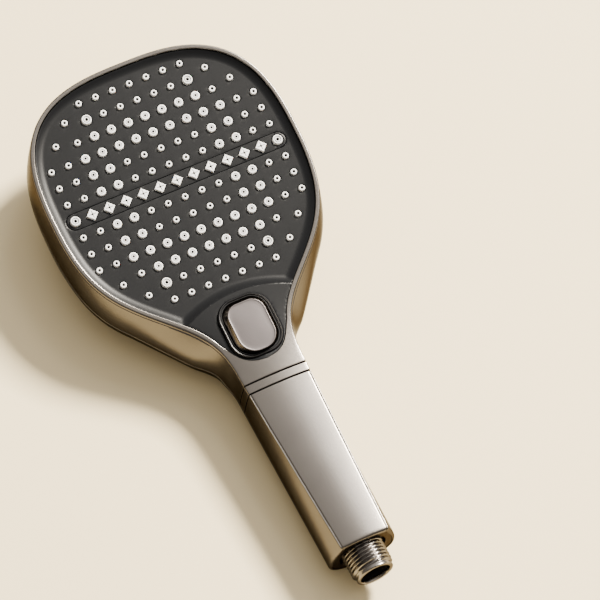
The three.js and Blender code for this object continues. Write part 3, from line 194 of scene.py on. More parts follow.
def loops_mesh(loops, closed=False, parts=None):
    """Quads between closed loops of equal count; the ends are capped, or joined if closed."""
    count = len(loops[0])
    points = np.concatenate(loops)
    faces, numbers = [], []
    pairs = len(loops) if closed else len(loops) - 1
    parts = parts or [0] * pairs
    for k in range(pairs):
        low, high = k * count, (k + 1) % len(loops) * count
        for i in range(count):
            j = (i + 1) % count
            faces.append((low + i, low + j, high + j, high + i))
            numbers.append(parts[k])
    if not closed:
        faces.append(tuple(range(count)))
        faces.append(tuple(reversed(range(len(points) - count, len(points)))))
        numbers += [parts[0], parts[-1]]
    return points, faces, numbers


def joined(meshes):
    """Several (points, faces, parts) as one."""
    points, faces, parts, shift = [], [], [], 0
    for more_points, more_faces, more_parts in meshes:
        points.append(more_points)
        faces += [tuple(shift + c for c in face) for face in more_faces]
        parts += list(more_parts)
        shift += len(more_points)
    return np.concatenate(points), faces, parts


def grid_quad(row, column, width):
    """Corners of a quad in a grid that is `width` points wide."""
    low = row * width + column
    return low, low + 1, low + width + 1, low + width


def shell(outer, inner, present=None):
    """A closed wall between two grids of points; `present` says which quads exist."""
    outer, inner = np.array(outer), np.array(inner)
    rows, width = outer.shape[:2]
    first, index = distinct(outer.reshape(-1, 3))
    top = []
    for i in range(rows - 1):
        for j in range(width - 1):
            if present is not None and not present[i, j]:
                continue
            ring = []
            for corner in grid_quad(i, j, width):
                vertex = int(index[corner])
                if vertex not in ring:
                    ring.append(vertex)
            if len(ring) >= 3:
                top.append(ring)
    edges = set()
    for ring in top:
        edges.update(zip(ring, ring[1:] + ring[:1]))
    count = len(first)
    faces = list(top)
    faces += [[count + c for c in reversed(ring)] for ring in top]
    faces += [[b, a, count + a, count + b] for a, b in edges if (b, a) not in edges]
    points = np.concatenate([grid.reshape(-1, 3)[first] for grid in (outer, inner)])
    return points, faces, [0] * len(faces)


def circle(radius, count, x=0.0, y=0.0):
    angles = 2 * math.pi * np.arange(count) / count
    return np.column_stack([x + radius * np.cos(angles), y + radius * np.sin(angles)])


def level(loop, z):
    """A loop in plan as a loop at one height."""
    return np.column_stack([loop, np.full(len(loop), z)])


def revolved(profile, count, x, y, parts):
    """Solid of revolution about z from an open (radius, z) profile, closed at both ends."""
    return loops_mesh([level(circle(radius, count, x, y), z) for radius, z in profile], parts=parts)


# ---- Casing surface

FRONT_BLEND = 3  # how softly the head's front runs into the grip's
WIDEST_BLEND = 2
# Places down from the middle of the face, and how far the widest line stands out there.
BULGE_KNOTS = [(-HEAD_HALF_LENGTH, 1), (15, 1.6), (50, 3.2), (74, 6.6), (92, 2.2), (NECK_Y, 0.8)]
HEAD_POINTS, SHOULDER_POINTS, GRIP_POINTS = 260, 160, 120  # along each stretch of the edge
SIDE_POINTS, BACK_POINTS = 40, 70  # down a section, to its widest line and to the ridge
BACK_SPREAD = 1.1  # crowds the back's points towards the widest line


def smooth_max(a, b, blend):
    return (a + b + np.hypot(a - b, blend)) / 2


def smoothstep(value, low, high):
    share = np.clip((value - low) / (high - low), 0, 1)
    return share * share * (3 - 2 * share)


def front_height(y):
    return smooth_max(FACE_HEIGHT + RIM_RISE + y * math.tan(TILT), GRIP_FRONT_HEIGHT, FRONT_BLEND)


def widest_height(y):
    return smooth_max(FACE_HEIGHT - SEAM_DEPTH + y * math.tan(TILT), GRIP_MID_HEIGHT, WIDEST_BLEND)


def seam_height(y):
    return FACE_HEIGHT + y * math.tan(TILT) - SEAM_DEPTH / PLAN


def keel_height(y):
    lift = np.maximum(0, -y - REST_FROM_Y) / (GRIP_END_Y - REST_FROM_Y)
    rise = np.maximum(0, y + REST_TO_Y)
    return GRIP_END_LIFT * lift + KEEL_RISE * rise**2 - REST_TRIM


def bulge(y):
    """How far the widest line stands outside the front edge, in the head and neck."""
    for (start, low), (end, high) in zip(BULGE_KNOTS, BULGE_KNOTS[1:]):
        if -y <= end:
            return low + (high - low) * smoothstep(-y, start, end)
    return 0.0


def bezier(a, b, c, d, count):
    t = np.linspace(0, 1, count)[:, None]
    a, b, c, d = (np.asarray(p, float) for p in (a, b, c, d))
    return (1 - t) ** 3 * a + 3 * (1 - t) ** 2 * t * b + 3 * (1 - t) * t**2 * c + t**3 * d


def front_edge():
    """Right half of the casing's front edge in plan, from the head's top to the grip's end."""
    angle = np.linspace(0, math.pi / 2, HEAD_POINTS)
    power = 2 / HEAD_SQUARENESS
    top = np.stack([
        HEAD_HALF_WIDTH * np.sin(angle) ** power,
        HEAD_HALF_LENGTH * PLAN * np.cos(angle) ** power,
    ], axis=1)
    sx, sy = SHOULDER
    slope_x, slope_y = SHOULDER_HANDLE
    side = bezier(
        (HEAD_HALF_WIDTH, 0), (HEAD_HALF_WIDTH, -SIDE_HANDLE * PLAN),
        (sx + slope_x, (slope_y - sy) * PLAN), (sx, -sy * PLAN), SHOULDER_POINTS,
    )
    neck_end = (NECK_HALF_WIDTH, -NECK_Y * PLAN)
    neck = bezier(
        (sx, -sy * PLAN), (sx - slope_x, (-sy - slope_y) * PLAN),
        (NECK_HALF_WIDTH, (NECK_HANDLE - NECK_Y) * PLAN), neck_end, SHOULDER_POINTS,
    )
    grip = np.linspace(neck_end, (GRIP_END_HALF_WIDTH, -GRIP_END_Y), GRIP_POINTS)
    return np.concatenate([top, side[1:], neck[1:], grip[1:]])


EDGE = front_edge()
EDGE_AT = np.concatenate([[0], np.cumsum(np.hypot(*np.diff(EDGE, axis=0).T))])
EDGE_STEP = np.gradient(EDGE, EDGE_AT, axis=0)
EDGE_NORMAL = np.stack([-EDGE_STEP[:, 1], EDGE_STEP[:, 0]], axis=1)
EDGE_NORMAL /= np.linalg.norm(EDGE_NORMAL, axis=1)[:, None]
EDGE_NORMAL[0] = (0, 1)


def edge_at_y(y):
    """Arc length along the front edge at a place in y."""
    return float(np.interp(-y, -EDGE[:, 1], EDGE_AT))


def half_width_at(y):
    return np.interp(-y, -EDGE[:, 1], EDGE[:, 0])


def station(s, inset=0.0):
    """Place in plan at an arc length along the front edge, inset, and the edge's normal."""
    x, y = (np.interp(s, EDGE_AT, EDGE[:, k]) for k in (0, 1))
    normal = np.array([np.interp(s, EDGE_AT, EDGE_NORMAL[:, k]) for k in (0, 1)])
    normal /= np.linalg.norm(normal)
    moved = np.array([x, y]) - normal * inset
    return np.array([max(0, moved[0]), max(-GRIP_END_Y, moved[1])]), normal


def front_surface(x, y):
    """Height of the casing's front, which bows up over its width in the neck and grip."""
    share = np.clip(x / np.maximum(half_width_at(y), 1e-6), 0, 1)
    return front_height(y) + FRONT_CROWN * smoothstep(-y, CROWN_FROM_Y, CROWN_FULL_Y) * (1 - share**2)


def flank(s, inset):
    """The casing's section from the front edge down the right side to the ridge."""
    (x, y), normal = station(s, inset)
    out = bulge(y) if y > -NECK_Y else GRIP_HALF_WIDTH - inset - x
    front = front_height(y) - inset
    wide_x, wide_y, wide_z = x + normal[0] * out, y + normal[1] * out, widest_height(y)
    down = np.linspace(0, 1, SIDE_POINTS)
    spread = np.sin(math.pi / 2 * down)
    side = np.stack([
        x + (wide_x - x) * spread, y + (wide_y - y) * spread, front + (wide_z - front) * down,
    ], axis=1)
    ridge_y = y * KEEL_SHARE if y > 0 else y
    angle = math.pi / 2 * np.linspace(0, 1, BACK_POINTS)[1:] ** BACK_SPREAD
    across = np.cos(angle) ** (2 / BACK_ROUNDNESS)
    across[-1] = 0
    depth = np.sin(angle) ** (2 / BACK_ROUNDNESS)
    back_y = ridge_y + (wide_y - ridge_y) * across
    back = np.stack([
        wide_x * across, back_y, wide_z + (keel_height(back_y) + inset - wide_z) * depth,
    ], axis=1)
    return np.concatenate([side, back])


def along(line, distances):
    """Points at these distances along a line of points."""
    lengths = np.concatenate([[0], np.cumsum(np.linalg.norm(np.diff(line, axis=0), axis=1))])
    return np.stack([np.interp(distances, lengths, line[:, k]) for k in range(3)], axis=1)


def length_of(line):
    return float(np.linalg.norm(np.diff(line, axis=0), axis=1).sum())


def split_at_seam(line, lift):
    """The parts of a section above and below the height that is `lift` over the seam."""
    over = line[:, 2] - seam_height(line[:, 1]) - lift
    k = int(np.argmax(over < 0))
    share = over[k - 1] / (over[k - 1] - over[k])
    cut = line[k - 1] + (line[k] - line[k - 1]) * share
    return np.vstack([line[:k], cut]), np.vstack([cut, line[k:]])


def spaced(start, end, step):
    return list(np.linspace(start, end, max(2, round((end - start) / step) + 1)))


def rounded_ends(start, end, step, round_start, round_end):
    """(arc length, sink) stations from start to end, sinking at rounded ends."""
    rim = [(GROOVE_ROUND * (1 - math.sin(a)), GROOVE_ROUND * (1 - math.cos(a)))
           for a in np.linspace(0, math.pi / 2, 5)]
    low = start + GROOVE_ROUND + step / 2 if round_start else start
    high = end - GROOVE_ROUND - step / 2 if round_end else end
    stations = [(start + back, sink) for back, sink in rim[::-1]] if round_start else []
    stations += [(s, 0.0) for s in spaced(low, high, step)]
    return stations + [(end - back, sink) for back, sink in rim if round_end]


# ---- Casings

SKIN = 1.6  # thickness of the walls modelled here
EDGE_ROUND = 0.7
BACK_EDGE_ROUND = 0.4
INNER_EDGE_ROUND = 0.05
GROOVE_ROUND = 0.25  # of the casings' ends at the two grooves
END_ROUND = 1.5  # of the grip's end
STATION_STEP = 1.1
BAND_STEP = 0.6
FIRST_GROOVE = -BAND_Y
SECOND_GROOVE = -BAND_Y - BAND_LENGTH
HALF_GROOVE = GROOVE_WIDTH / 2
PANEL_EDGE = 0.5  # strip of the back shell beside the grip's panel
CREASE_AT = 1.5  # fine line on the flank below the front edge
CREASE_DEPTH = 0.28
# Distance across that line from its middle, and the share of its depth there.
CREASE_ROWS = np.array([
    [-0.3, 0], [-0.2, 0.35], [-0.1, 0.85], [0, 1], [0.1, 0.85], [0.2, 0.35], [0.3, 0],
])
# Distance from the opening or the seam, and how far the wall turns in there.
OPENING_ROWS = np.array([[0, 0.3], [0.1, 0.1], [0.3, 0]])
UPPER_SEAM_ROWS = np.array([[0.3, 0], [0.18, 0.03], [0.08, 0.1], [0, 0.28]])
LOWER_SEAM_ROWS = np.array([[0, 0.28], [0.08, 0.1], [0.18, 0.03], [0.35, 0]])
STRIP_FADE = (0.9, 0.7, 0.5, 0.3, 0.1, 0)  # how the end's sinking dies out towards the seam
PANEL_GAP = 0.22
PANEL_EASE = (0.3, 0.035, 2.5)  # depth, share of the half width and power of its eased edges
TAIL_HANDLE = (4.2, 7.5)
TAIL_FLATNESS = 0.62  # how far out the tail's end runs level
TAIL_POINTS = 30
TAIL_END_Y = 101


def tail_curve(last, bottom_y, count):
    """End of the spray face's outline, from its last point beside the neck to the middle."""
    x, y = last
    handle = (x - TAIL_HANDLE[0], y - TAIL_HANDLE[1])
    return bezier((x, y), handle, (x * TAIL_FLATNESS, bottom_y), (0, bottom_y), count)


def tail_start(inset):
    """Arc length and place where an inset outline leaves the front edge, in the head frame."""
    for s in np.arange(0, EDGE_AT[-1], 0.25):
        (x, y), _ = station(s, inset)
        if y < -FACE_TAPER_Y * PLAN:
            return s, (x, y / PLAN)
    raise ValueError("the outline never reaches the neck")


def face_outline(inset, step=2.0):
    """Outline of the spray face in the head frame, inset from the casing's front edge."""
    end, last = tail_start(inset)
    right = [station(s, inset)[0] / (1, PLAN) for s in spaced(0, end, step)[:-1]]
    tail = tail_curve(last, inset - RIM_WIDTH - FACE_END_Y, TAIL_POINTS)
    half = np.vstack([right, tail])
    return np.vstack([half, half[-2:0:-1] * (-1, 1)])


OPENING_END, OPENING_LAST = tail_start(RIM_WIDTH)
OPENING_TAIL = tail_curve(OPENING_LAST, -FACE_END_Y, 2 * TAIL_POINTS) * (1, PLAN)
TAIL_END = edge_at_y(-TAIL_END_Y * PLAN)
NECK_END = edge_at_y(FIRST_GROOVE + HALF_GROOVE)


def opening_point(s):
    """Inner end of the front casing's section: on the face's opening, then on the middle."""
    if s <= OPENING_END:
        return station(s, RIM_WIDTH)[0]
    if s <= TAIL_END:
        share = (s - OPENING_END) / (TAIL_END - OPENING_END) * (len(OPENING_TAIL) - 1)
        places = np.arange(len(OPENING_TAIL))
        return np.array([np.interp(share, places, OPENING_TAIL[:, k]) for k in (0, 1)])
    share = (s - TAIL_END) / (NECK_END - TAIL_END)
    return np.array([0, OPENING_TAIL[-1, 1] * (1 - share) + share * (FIRST_GROOVE + HALF_GROOVE)])


def sunk(points, amount):
    """Points moved inwards, towards the grip's axis."""
    target = points * (0, 1, 0) + (0, 0, AXIS_HEIGHT)
    away = target - points
    away /= np.maximum(np.linalg.norm(away, axis=1), 1e-6)[:, None]
    return points + away * np.reshape(amount, (-1, 1))


def top_points(start, end, depth, rounded, corner):
    """The front surface between two places in plan, short of the corner's rounding."""
    reach = float(np.linalg.norm(end - start))
    distances = np.concatenate([OPENING_ROWS[:, 0], np.linspace(0.5, reach - corner, 11)])
    plan = start + (end - start) * (distances / reach)[:, None]
    z = front_surface(plan[:, 0], plan[:, 1]) - depth
    z[:len(OPENING_ROWS)] -= OPENING_ROWS[:, 1] * rounded
    return np.column_stack([plan, z])


def corner_points(before, corner, after):
    """Five points of a round corner, between the points before and after it."""
    t = np.linspace(0, 1, 7)[1:-1, None]
    return (1 - t) ** 2 * before + 2 * t * (1 - t) * corner + t**2 * after


def section(s, depth, lift):
    """Edge, normal, corner, and the parts above and below the seam, at a depth in the wall."""
    edge, normal = station(s, depth)
    upper, lower = split_at_seam(flank(s, depth), lift)
    upper[0] = (*edge, front_surface(*edge) - depth)
    return edge, normal, upper[0].copy(), upper, lower


def front_section(s, sink, start, rounded):
    """Outer and inner points of the front casing's section, from the opening to the seam."""
    sides = []
    for depth in (0.0, SKIN):
        edge, normal, corner, upper, _ = section(s, depth, GAP / 2)
        corner_radius = INNER_EDGE_ROUND if depth else EDGE_ROUND
        full = length_of(upper)
        distances = np.concatenate([
            [corner_radius, 0.95], CREASE_AT + CREASE_ROWS[:, 0],
            np.linspace(2.3, full - 0.5, 14), full - UPPER_SEAM_ROWS[:, 0],
        ])
        side = along(upper, distances)
        top = top_points(np.asarray(start), edge, depth, 0 if depth else rounded, corner_radius)
        if depth == 0:
            side[2:9, :2] -= normal * CREASE_DEPTH * CREASE_ROWS[:, 1:]
            side[-len(UPPER_SEAM_ROWS):, :2] -= normal * UPPER_SEAM_ROWS[:, 1:]
        points = np.vstack([top, corner_points(top[-1], corner, side[0]), side])
        sides.append(sunk(points, sink) if depth == 0 else points)
    return sides


def mirrored(items):
    """Rows or points of the right half, from the middle outwards, as those of both halves."""
    right = np.array(items)
    return np.concatenate([right[:0:-1] * (-1, 1, 1), right])


def mirrored_after(points):
    """Points of the right half down to the ridge, and on up the left half."""
    return np.vstack([points, points[-2::-1] * (-1, 1, 1)])


def front_casing(finishes):
    sections = []
    for s, sink in rounded_ends(0, NECK_END, STATION_STEP, False, True):
        rounded = min(1, max(0, TAIL_END - s) / 3)
        sections.append(front_section(s, sink, opening_point(s), rounded))
    outer, inner = (mirrored(rows) for rows in zip(*sections))
    piece("front_casing", shell(outer, inner), finishes, PART)


def handle_band(finishes):
    start = edge_at_y(FIRST_GROOVE - HALF_GROOVE)
    end = edge_at_y(SECOND_GROOVE + HALF_GROOVE)
    outer, inner = [], []
    for s, sink in rounded_ends(start, end, BAND_STEP, True, True):
        middle = (0, station(s)[0][1])
        for rows, points in zip((outer, inner), front_section(s, sink, middle, 0)):
            rows.append(mirrored(points))
    piece("handle_band", shell(outer, inner), finishes, PART)


def back_section(s, sink, whole):
    """Right half of the back shell's section: over the panel's strip, round to the ridge."""
    sides = []
    groove_end = seam_height(SECOND_GROOVE)
    for depth in (0.0, SKIN):
        lift = max(0.0, groove_end - seam_height(station(s, depth)[0][1])) - GAP / 2
        edge, normal, corner, upper, lower = section(s, depth, lift)
        corner_radius = INNER_EDGE_ROUND if depth else BACK_EDGE_ROUND
        strip = np.array([edge[0] - (0.1 if depth else PANEL_EDGE), edge[1]])
        start = np.array([*strip, front_surface(*strip) - depth - (0 if depth else 0.12)])
        side = along(upper, np.linspace(corner_radius, length_of(upper), 22))
        near = corner + (start - corner) * 0.8
        upper = np.vstack([start, near, corner_points(near, corner, side[0]), side])
        distances = [LOWER_SEAM_ROWS[:, 0], np.linspace(0.7, length_of(lower), 30)]
        low = along(lower, np.concatenate(distances))
        if depth == 0 and whole:
            fade = np.ones(len(upper))
            fade[-len(STRIP_FADE):] = STRIP_FADE
            upper = sunk(upper, sink * fade)
        elif depth == 0:
            low[:len(LOWER_SEAM_ROWS), :2] -= normal * LOWER_SEAM_ROWS[:, 1:]
        if not whole:
            upper[:] = low[0]
        sides.append(np.vstack([upper[:-1], low]))
    return sides, len(upper) - 1


def grip_stations():
    """(arc length, sink) stations of the grip, close together where its end is rounded."""
    end = EDGE_AT[-1]
    stations = rounded_ends(
        edge_at_y(SECOND_GROOVE - HALF_GROOVE), end - END_ROUND, STATION_STEP, True, False
    )
    return stations + [(end - END_ROUND * (1 - math.sin(a)), 0.0)
                       for a in np.linspace(0, math.pi / 2, 7)[1:]]


def grip_end_sunk(points, s):
    """Rounds the whole section at the grip's end."""
    left = EDGE_AT[-1] - s
    if left >= END_ROUND:
        return points
    sink = END_ROUND - math.sqrt(max(0.0, END_ROUND**2 - (END_ROUND - left) ** 2))
    return sunk(points, sink)


def back_shell(finishes):
    groove = edge_at_y(SECOND_GROOVE - HALF_GROOVE)
    stations = [(s, 0.0, False) for s in spaced(0, groove, STATION_STEP)]
    stations += [(s, sink, True) for s, sink in grip_stations()]
    outer, inner = [], []
    for s, sink, whole in stations:
        (out_points, in_points), seam = back_section(s, sink, whole)
        outer.append(mirrored_after(grip_end_sunk(out_points, s)))
        inner.append(mirrored_after(in_points))
    outer = np.array(outer)
    outer[:, :, 2] = np.maximum(outer[:, :, 2], 0)
    present = np.ones((outer.shape[0] - 1, outer.shape[1] - 1), bool)
    for row, ((_, _, whole), (_, _, next_whole)) in enumerate(zip(stations, stations[1:])):
        if not (whole and next_whole):
            present[row, :seam] = False
            present[row, -seam:] = False
    piece("back_shell", shell(outer, inner, present), finishes, PART)


def handle_front_panel(finishes):
    ease_depth, ease_width, ease_power = PANEL_EASE
    shares = np.concatenate([[0, 0.004, 0.012, 0.025], np.linspace(0.05, 0.95, 25),
                             [0.975, 0.988, 0.996, 1]]) * 2 - 1
    eased = np.clip((np.abs(shares) - (1 - ease_width)) / ease_width, 0, 1) ** ease_power
    outer, inner = [], []
    for s, sink in grip_stations():
        edge_x, edge_y = station(s)[0]
        x = (edge_x - PANEL_EDGE - PANEL_GAP) * shares
        y = np.full(len(x), edge_y)
        z = front_surface(np.abs(x), y) - ease_depth * eased
        outer.append(grip_end_sunk(np.column_stack([x, y, z - sink]), s))
        inner.append(np.column_stack([x, y, z - SKIN - 0.2]))
    piece("handle_front_panel", shell(outer, inner), finishes, PART)


def axis_loop(across, up, radius, y):
    """Loop round the inlet's axis, at a radius along each of these directions."""
    return np.column_stack([radius * across, np.full(len(across), -y), AXIS_HEIGHT + radius * up])


def end_cap(finishes):
    """Plug of the grip's end, with a dish round the threaded inlet."""
    inset = SKIN + 0.1
    edge = station(EDGE_AT[-1], inset)[0]
    top_x = np.linspace(0, edge[0], 20)[:-1]
    top_y = np.full(len(top_x), edge[1])
    top = np.column_stack([top_x, top_y, front_surface(top_x, top_y) - SKIN - 0.3])
    half = np.vstack([top, flank(EDGE_AT[-1], inset)])
    ring = np.vstack([half, half[-2:0:-1] * (-1, 1, 1)])
    x, z = ring[:, 0], ring[:, 2] - AXIS_HEIGHT
    turns = np.arctan2(x, z)
    order = np.argsort(turns)
    angles = np.linspace(-math.pi, math.pi, 96, endpoint=False)
    rim = np.interp(angles, turns[order], np.hypot(x, z)[order], period=2 * math.pi)
    hole = THREAD_RADIUS - THREAD_DEPTH + 0.05
    back = GRIP_END_Y - END_CAP_THICKNESS
    face = GRIP_END_Y - 0.12
    floor_y = GRIP_END_Y - END_DISH
    dish = END_DISH_RADIUS
    profile = [(rim, back), (rim, face - 0.2), (rim - 0.06, face - 0.06), (rim - 0.2, face)]
    profile += [((rim - 0.2) * (1 - t) + (dish + 0.4) * t, face) for t in np.linspace(0.15, 1, 4)]
    profile += [(dish + 0.1, face - 0.08), (dish, face - 0.35), (dish - 0.25, floor_y + 0.35),
                (dish - 0.5, floor_y + 0.06), (dish - 0.9, floor_y), (hole, floor_y), (hole, back)]
    loops = [axis_loop(np.sin(angles), np.cos(angles), radius, y) for radius, y in profile]
    piece("end_cap", loops_mesh(loops, closed=True), finishes, PART)


# ---- Spray face

# A row, and the columns of its small and medium nozzles, in pitches from the middle. Each
# nozzle stands in all four quarters.
PATTERN = [
    (1, (0, 1, 2, 5, 6), (3, 4)),
    (2, (0, 1, 2, 5, 6), (3, 4)),
    (3, (5, 6), (0, 1, 2, 3, 4)),
    (4, (4,), (0, 1, 2, 3)),
    (4.23, (5.17,), ()),
    (5, (0, 1, 2), ()),
    (5.28, (4.17,), ()),
    (6, (0, 1, 2, 3), ()),
]
JET_COLUMN = 6  # of the two jets at the strip's ends
JET_PLACES = [(JET_COLUMN, 0), (-JET_COLUMN, 0), (3, 5), (-3, 5), (3, -5), (-3, -5)]
DIAMOND_COLUMNS = range(-5, 6)
PLATE_BOTTOM = FIELD - FACE_THICKNESS
PLATE_CHAMFER = 0.12
HOLE_EASE = 0.22  # width of the eased edge round a hole
# The part round the button stands on a ramp, which ends on a line that bows down at the sides.
RAMP_WIDTH = 5.2
RAMP_END_Y, RAMP_END_BOW, RAMP_END_HALF_WIDTH = 62.6, 6.2, 27
RAMP_STRAIGHT, RAMP_CURVED, RAMP_POWER = 0.06, 0.94, 1.75
RAISED_DROP, RAISED_CROWN = 0.3, 0.5  # under the casing's front, and more in the middle
LIP_POWER = 1.8
LIP_BLEND = 2.2  # how softly the lip runs into the ramp


def nozzle_places(kind):
    places = []
    for row, small, medium in PATTERN:
        for column in (small if kind == "small" else medium):
            for up in (1, -1):
                places.append((column * PITCH, up * row * PITCH))
                if column:
                    places.append((-column * PITCH, up * row * PITCH))
    return places


def rounded_rectangle(half_width, half_length, top_radius, bottom_radius, y, steps=14, side=8):
    """Loop about (0, y) with its own corner radius at the top and at the bottom."""
    corners = [(1, 1, top_radius), (-1, 1, top_radius), (-1, -1, bottom_radius), (1, -1, bottom_radius)]
    arcs = []
    for quarter, (sx, sy, radius) in enumerate(corners):
        angle = math.pi / 2 * (quarter + np.arange(steps + 1) / steps)
        arcs.append(np.column_stack([
            sx * (half_width - radius) + radius * np.cos(angle),
            y + sy * (half_length - radius) + radius * np.sin(angle),
        ]))
    loop = []
    for arc, following in zip(arcs, arcs[1:] + arcs[:1]):
        straight = arc[-1] + (following[0] - arc[-1]) * (np.arange(1, side) / side)[:, None]
        loop += [arc, straight]
    return np.vstack(loop)


def strip_outline(offset):
    half = STRIP_HALF_WIDTH + offset
    return rounded_rectangle(STRIP_HALF_LENGTH + offset, half, half - 0.01, half - 0.01, 0, 12, 30)


# Half width, half length, corner radius at the top and the bottom, and shift down the neck.
BEZEL = (13.6, 15.3, 9.6, 10.4, 0)
CAP_BASE = (11.3, 13.7, 7.6, 9.2, 0)
CAP_TOP = (9.6, 12.75, 6.6, 8.4, 0.85)


def button_outline(sizes, offset=0.0):
    *rectangle, shift = sizes
    return rounded_rectangle(*(size + offset for size in rectangle), -BUTTON_Y - shift)


def distance_from(outline, points):
    """Distance of points from a closed outline."""
    steps = np.roll(outline, -1, axis=0) - outline
    best = np.full(len(points), 1e9)
    for start, step in zip(outline, steps):
        t = np.clip((points - start) @ step / (step @ step + 1e-12), 0, 1)
        best = np.minimum(best, np.linalg.norm(points - start - t[:, None] * step, axis=1))
    return best


def inside(outline, points):
    """Which points lie inside a closed outline."""
    x, y = points[:, 0], points[:, 1]
    within = np.zeros(len(points), bool)
    for (ax, ay), (bx, by) in zip(outline, np.roll(outline, -1, axis=0)):
        crosses = (ay > y) != (by > y)
        at = ax + (y - ay) * (bx - ax) / (by - ay if by != ay else 1e-12)
        within ^= crosses & (x < at)
    return within


def pierced_plate(outline, holes, extra, height):
    """Closed plate: `height` gives its top, its edges are eased, and it has these holes."""
    points = np.concatenate([outline, *holes, extra])
    edges, owner, start = [], np.full(len(points), -1), 0
    for number, loop in enumerate([outline, *holes]):
        count = len(loop)
        edges += [(start + i, start + (i + 1) % count) for i in range(count)]
        owner[start:start + count] = number
        start += count
    made, _, triangles, origin, _, _ = delaunay_2d_cdt(
        [Vector(p) for p in points], edges, [], 0, 1e-5
    )
    made = np.array([tuple(p) for p in made])
    owners = np.array([owner[o[0]] if o else -1 for o in origin])
    triangles = np.array([t for t in triangles])
    # A triangle whose corners are all on one loop fills a hole, or a hollow of the outline.
    own = owners[triangles]
    same = (own[:, 0] == own[:, 1]) & (own[:, 1] == own[:, 2])
    in_hole = same & (own[:, 0] > 0)
    doubtful = same & (own[:, 0] == 0)
    outside = np.zeros(len(triangles), bool)
    outside[doubtful] = ~inside(outline, made[triangles[doubtful]].mean(axis=1))
    kept = triangles[~in_hole & ~outside]
    count = len(made)
    top = np.column_stack([made, height(made) - PLATE_CHAMFER * (owners >= 0)])
    faces = [tuple(t) for t in kept]
    faces += [tuple(count + t[::-1]) for t in kept]
    used = set()
    for a, b, c in kept:
        used.update(((a, b), (b, c), (c, a)))
    faces += [(b, a, count + a, count + b) for a, b in used if (b, a) not in used]
    return np.concatenate([top, level(made, PLATE_BOTTOM)]), faces, [0] * len(faces)


def head_front(y):
    """The casing's front over the nozzle tips, in the head frame."""
    level_y = y * PLAN
    return (front_height(level_y) - FACE_HEIGHT - level_y * math.tan(TILT)) * PLAN


def ramp_end_y(x):
    """Where the ramp meets the raised part round the button."""
    return -RAMP_END_Y - RAMP_END_BOW * (x / RAMP_END_HALF_WIDTH) ** 2


def face_height(points, outline):
    x, y = points[:, 0], points[:, 1]
    depth = distance_from(outline, points)
    lip = (FACE_LIP_RISE - FIELD) * np.clip(1 - depth / FACE_LIP_WIDTH, 0, 1) ** LIP_POWER
    right = outline[outline[:, 0] >= 0]
    order = np.argsort(right[:, 1])
    half = np.interp(y, right[order, 1], right[order, 0])
    share = np.clip(np.abs(x) / np.maximum(half, 1e-6), 0, 1)
    raised = head_front(y) - RAISED_DROP + RAISED_CROWN * (1 - share**2) - FIELD
    up = np.clip((ramp_end_y(x) + RAMP_WIDTH - y) / RAMP_WIDTH, 0, 1)
    ramp = raised * np.where(up < 1, RAMP_STRAIGHT * up + RAMP_CURVED * up**RAMP_POWER, 1)
    lip = lip * (1 - up**2)
    return FIELD + (lip**LIP_BLEND + ramp**LIP_BLEND) ** (1 / LIP_BLEND)


def grid_points(x_from, x_to, y_from, y_to, step):
    x, y = np.meshgrid(np.arange(x_from, x_to, step), np.arange(y_from, y_to, step))
    return np.column_stack([x.ravel(), y.ravel()])


def face_plate(finishes):
    edge = RIM_WIDTH + GAP
    outline = face_outline(edge, 0.9)
    places = [(x, y, SMALL_RADIUS, 20) for x, y in nozzle_places("small")]
    places += [(x, y, MEDIUM_RADIUS, 20) for x, y in nozzle_places("medium")]
    places += [(column * PITCH, row * PITCH, JET_RADIUS, 28) for column, row in JET_PLACES if row]
    holes = [circle(radius + NOZZLE_CLEARANCE, sides, x, y) for x, y, radius, sides in places]
    rings = [(x, y, radius + NOZZLE_CLEARANCE + HOLE_EASE) for x, y, radius, _ in places]
    eased = [circle(radius, 20, x, y) for x, y, radius in rings]
    eased += [strip_outline(HOLE_EASE), button_outline(BEZEL, GAP + 0.25)]
    holes += [strip_outline(0), button_outline(BEZEL, GAP)]
    # Points for the lip, the ramp, the field and, closer together, the part round the button.
    eased += [face_outline(edge + inset, 1.6) for inset in np.arange(0.25, FACE_LIP_WIDTH + 0.5, 0.38)]
    across = np.linspace(-40, 40, 81)
    for share in np.concatenate([np.linspace(-0.1, 1, 12), [1.03, 1.12, 1.3]]):
        eased.append(np.column_stack([across, ramp_end_y(across) + RAMP_WIDTH * (1 - share)]))
    eased += [grid_points(-64, 65, -58, 66, 4.0), grid_points(-40, 41, -99, -63, 1.6)]
    extra = np.vstack(eased)
    extra = extra[inside(outline, extra)]
    extra = extra[distance_from(outline, extra) > 0.2]
    for x, y, radius in rings:
        extra = extra[np.hypot(extra[:, 0] - x, extra[:, 1] - y) > radius - 0.02]
    for loop in (strip_outline(HOLE_EASE - 0.02), button_outline(BEZEL, GAP + 0.23)):
        extra = extra[~inside(loop, extra)]
    plate = pierced_plate(outline, holes, extra, lambda p: face_height(p, outline))
    piece("face_plate", plate, finishes, HEAD, crease=40, weigh=True)


def centre_strip(finishes):
    outline = strip_outline(-GAP)
    jet = JET_RADIUS + NOZZLE_CLEARANCE
    holes, eased = [], [strip_outline(-GAP - 0.2)]
    for column in DIAMOND_COLUMNS:
        holes.append(diamond_loop(column * PITCH, DIAMOND_RADIUS + NOZZLE_CLEARANCE))
        eased.append(diamond_loop(column * PITCH, DIAMOND_RADIUS + 0.65))
    for column in (-JET_COLUMN, JET_COLUMN):
        holes.append(circle(jet, 28, column * PITCH))
        eased.append(circle(jet + 0.2, 28, column * PITCH))
    plate = pierced_plate(outline, holes, np.vstack(eased), lambda p: np.full(len(p), FIELD))
    piece("centre_strip", plate, finishes, HEAD, weigh=True)


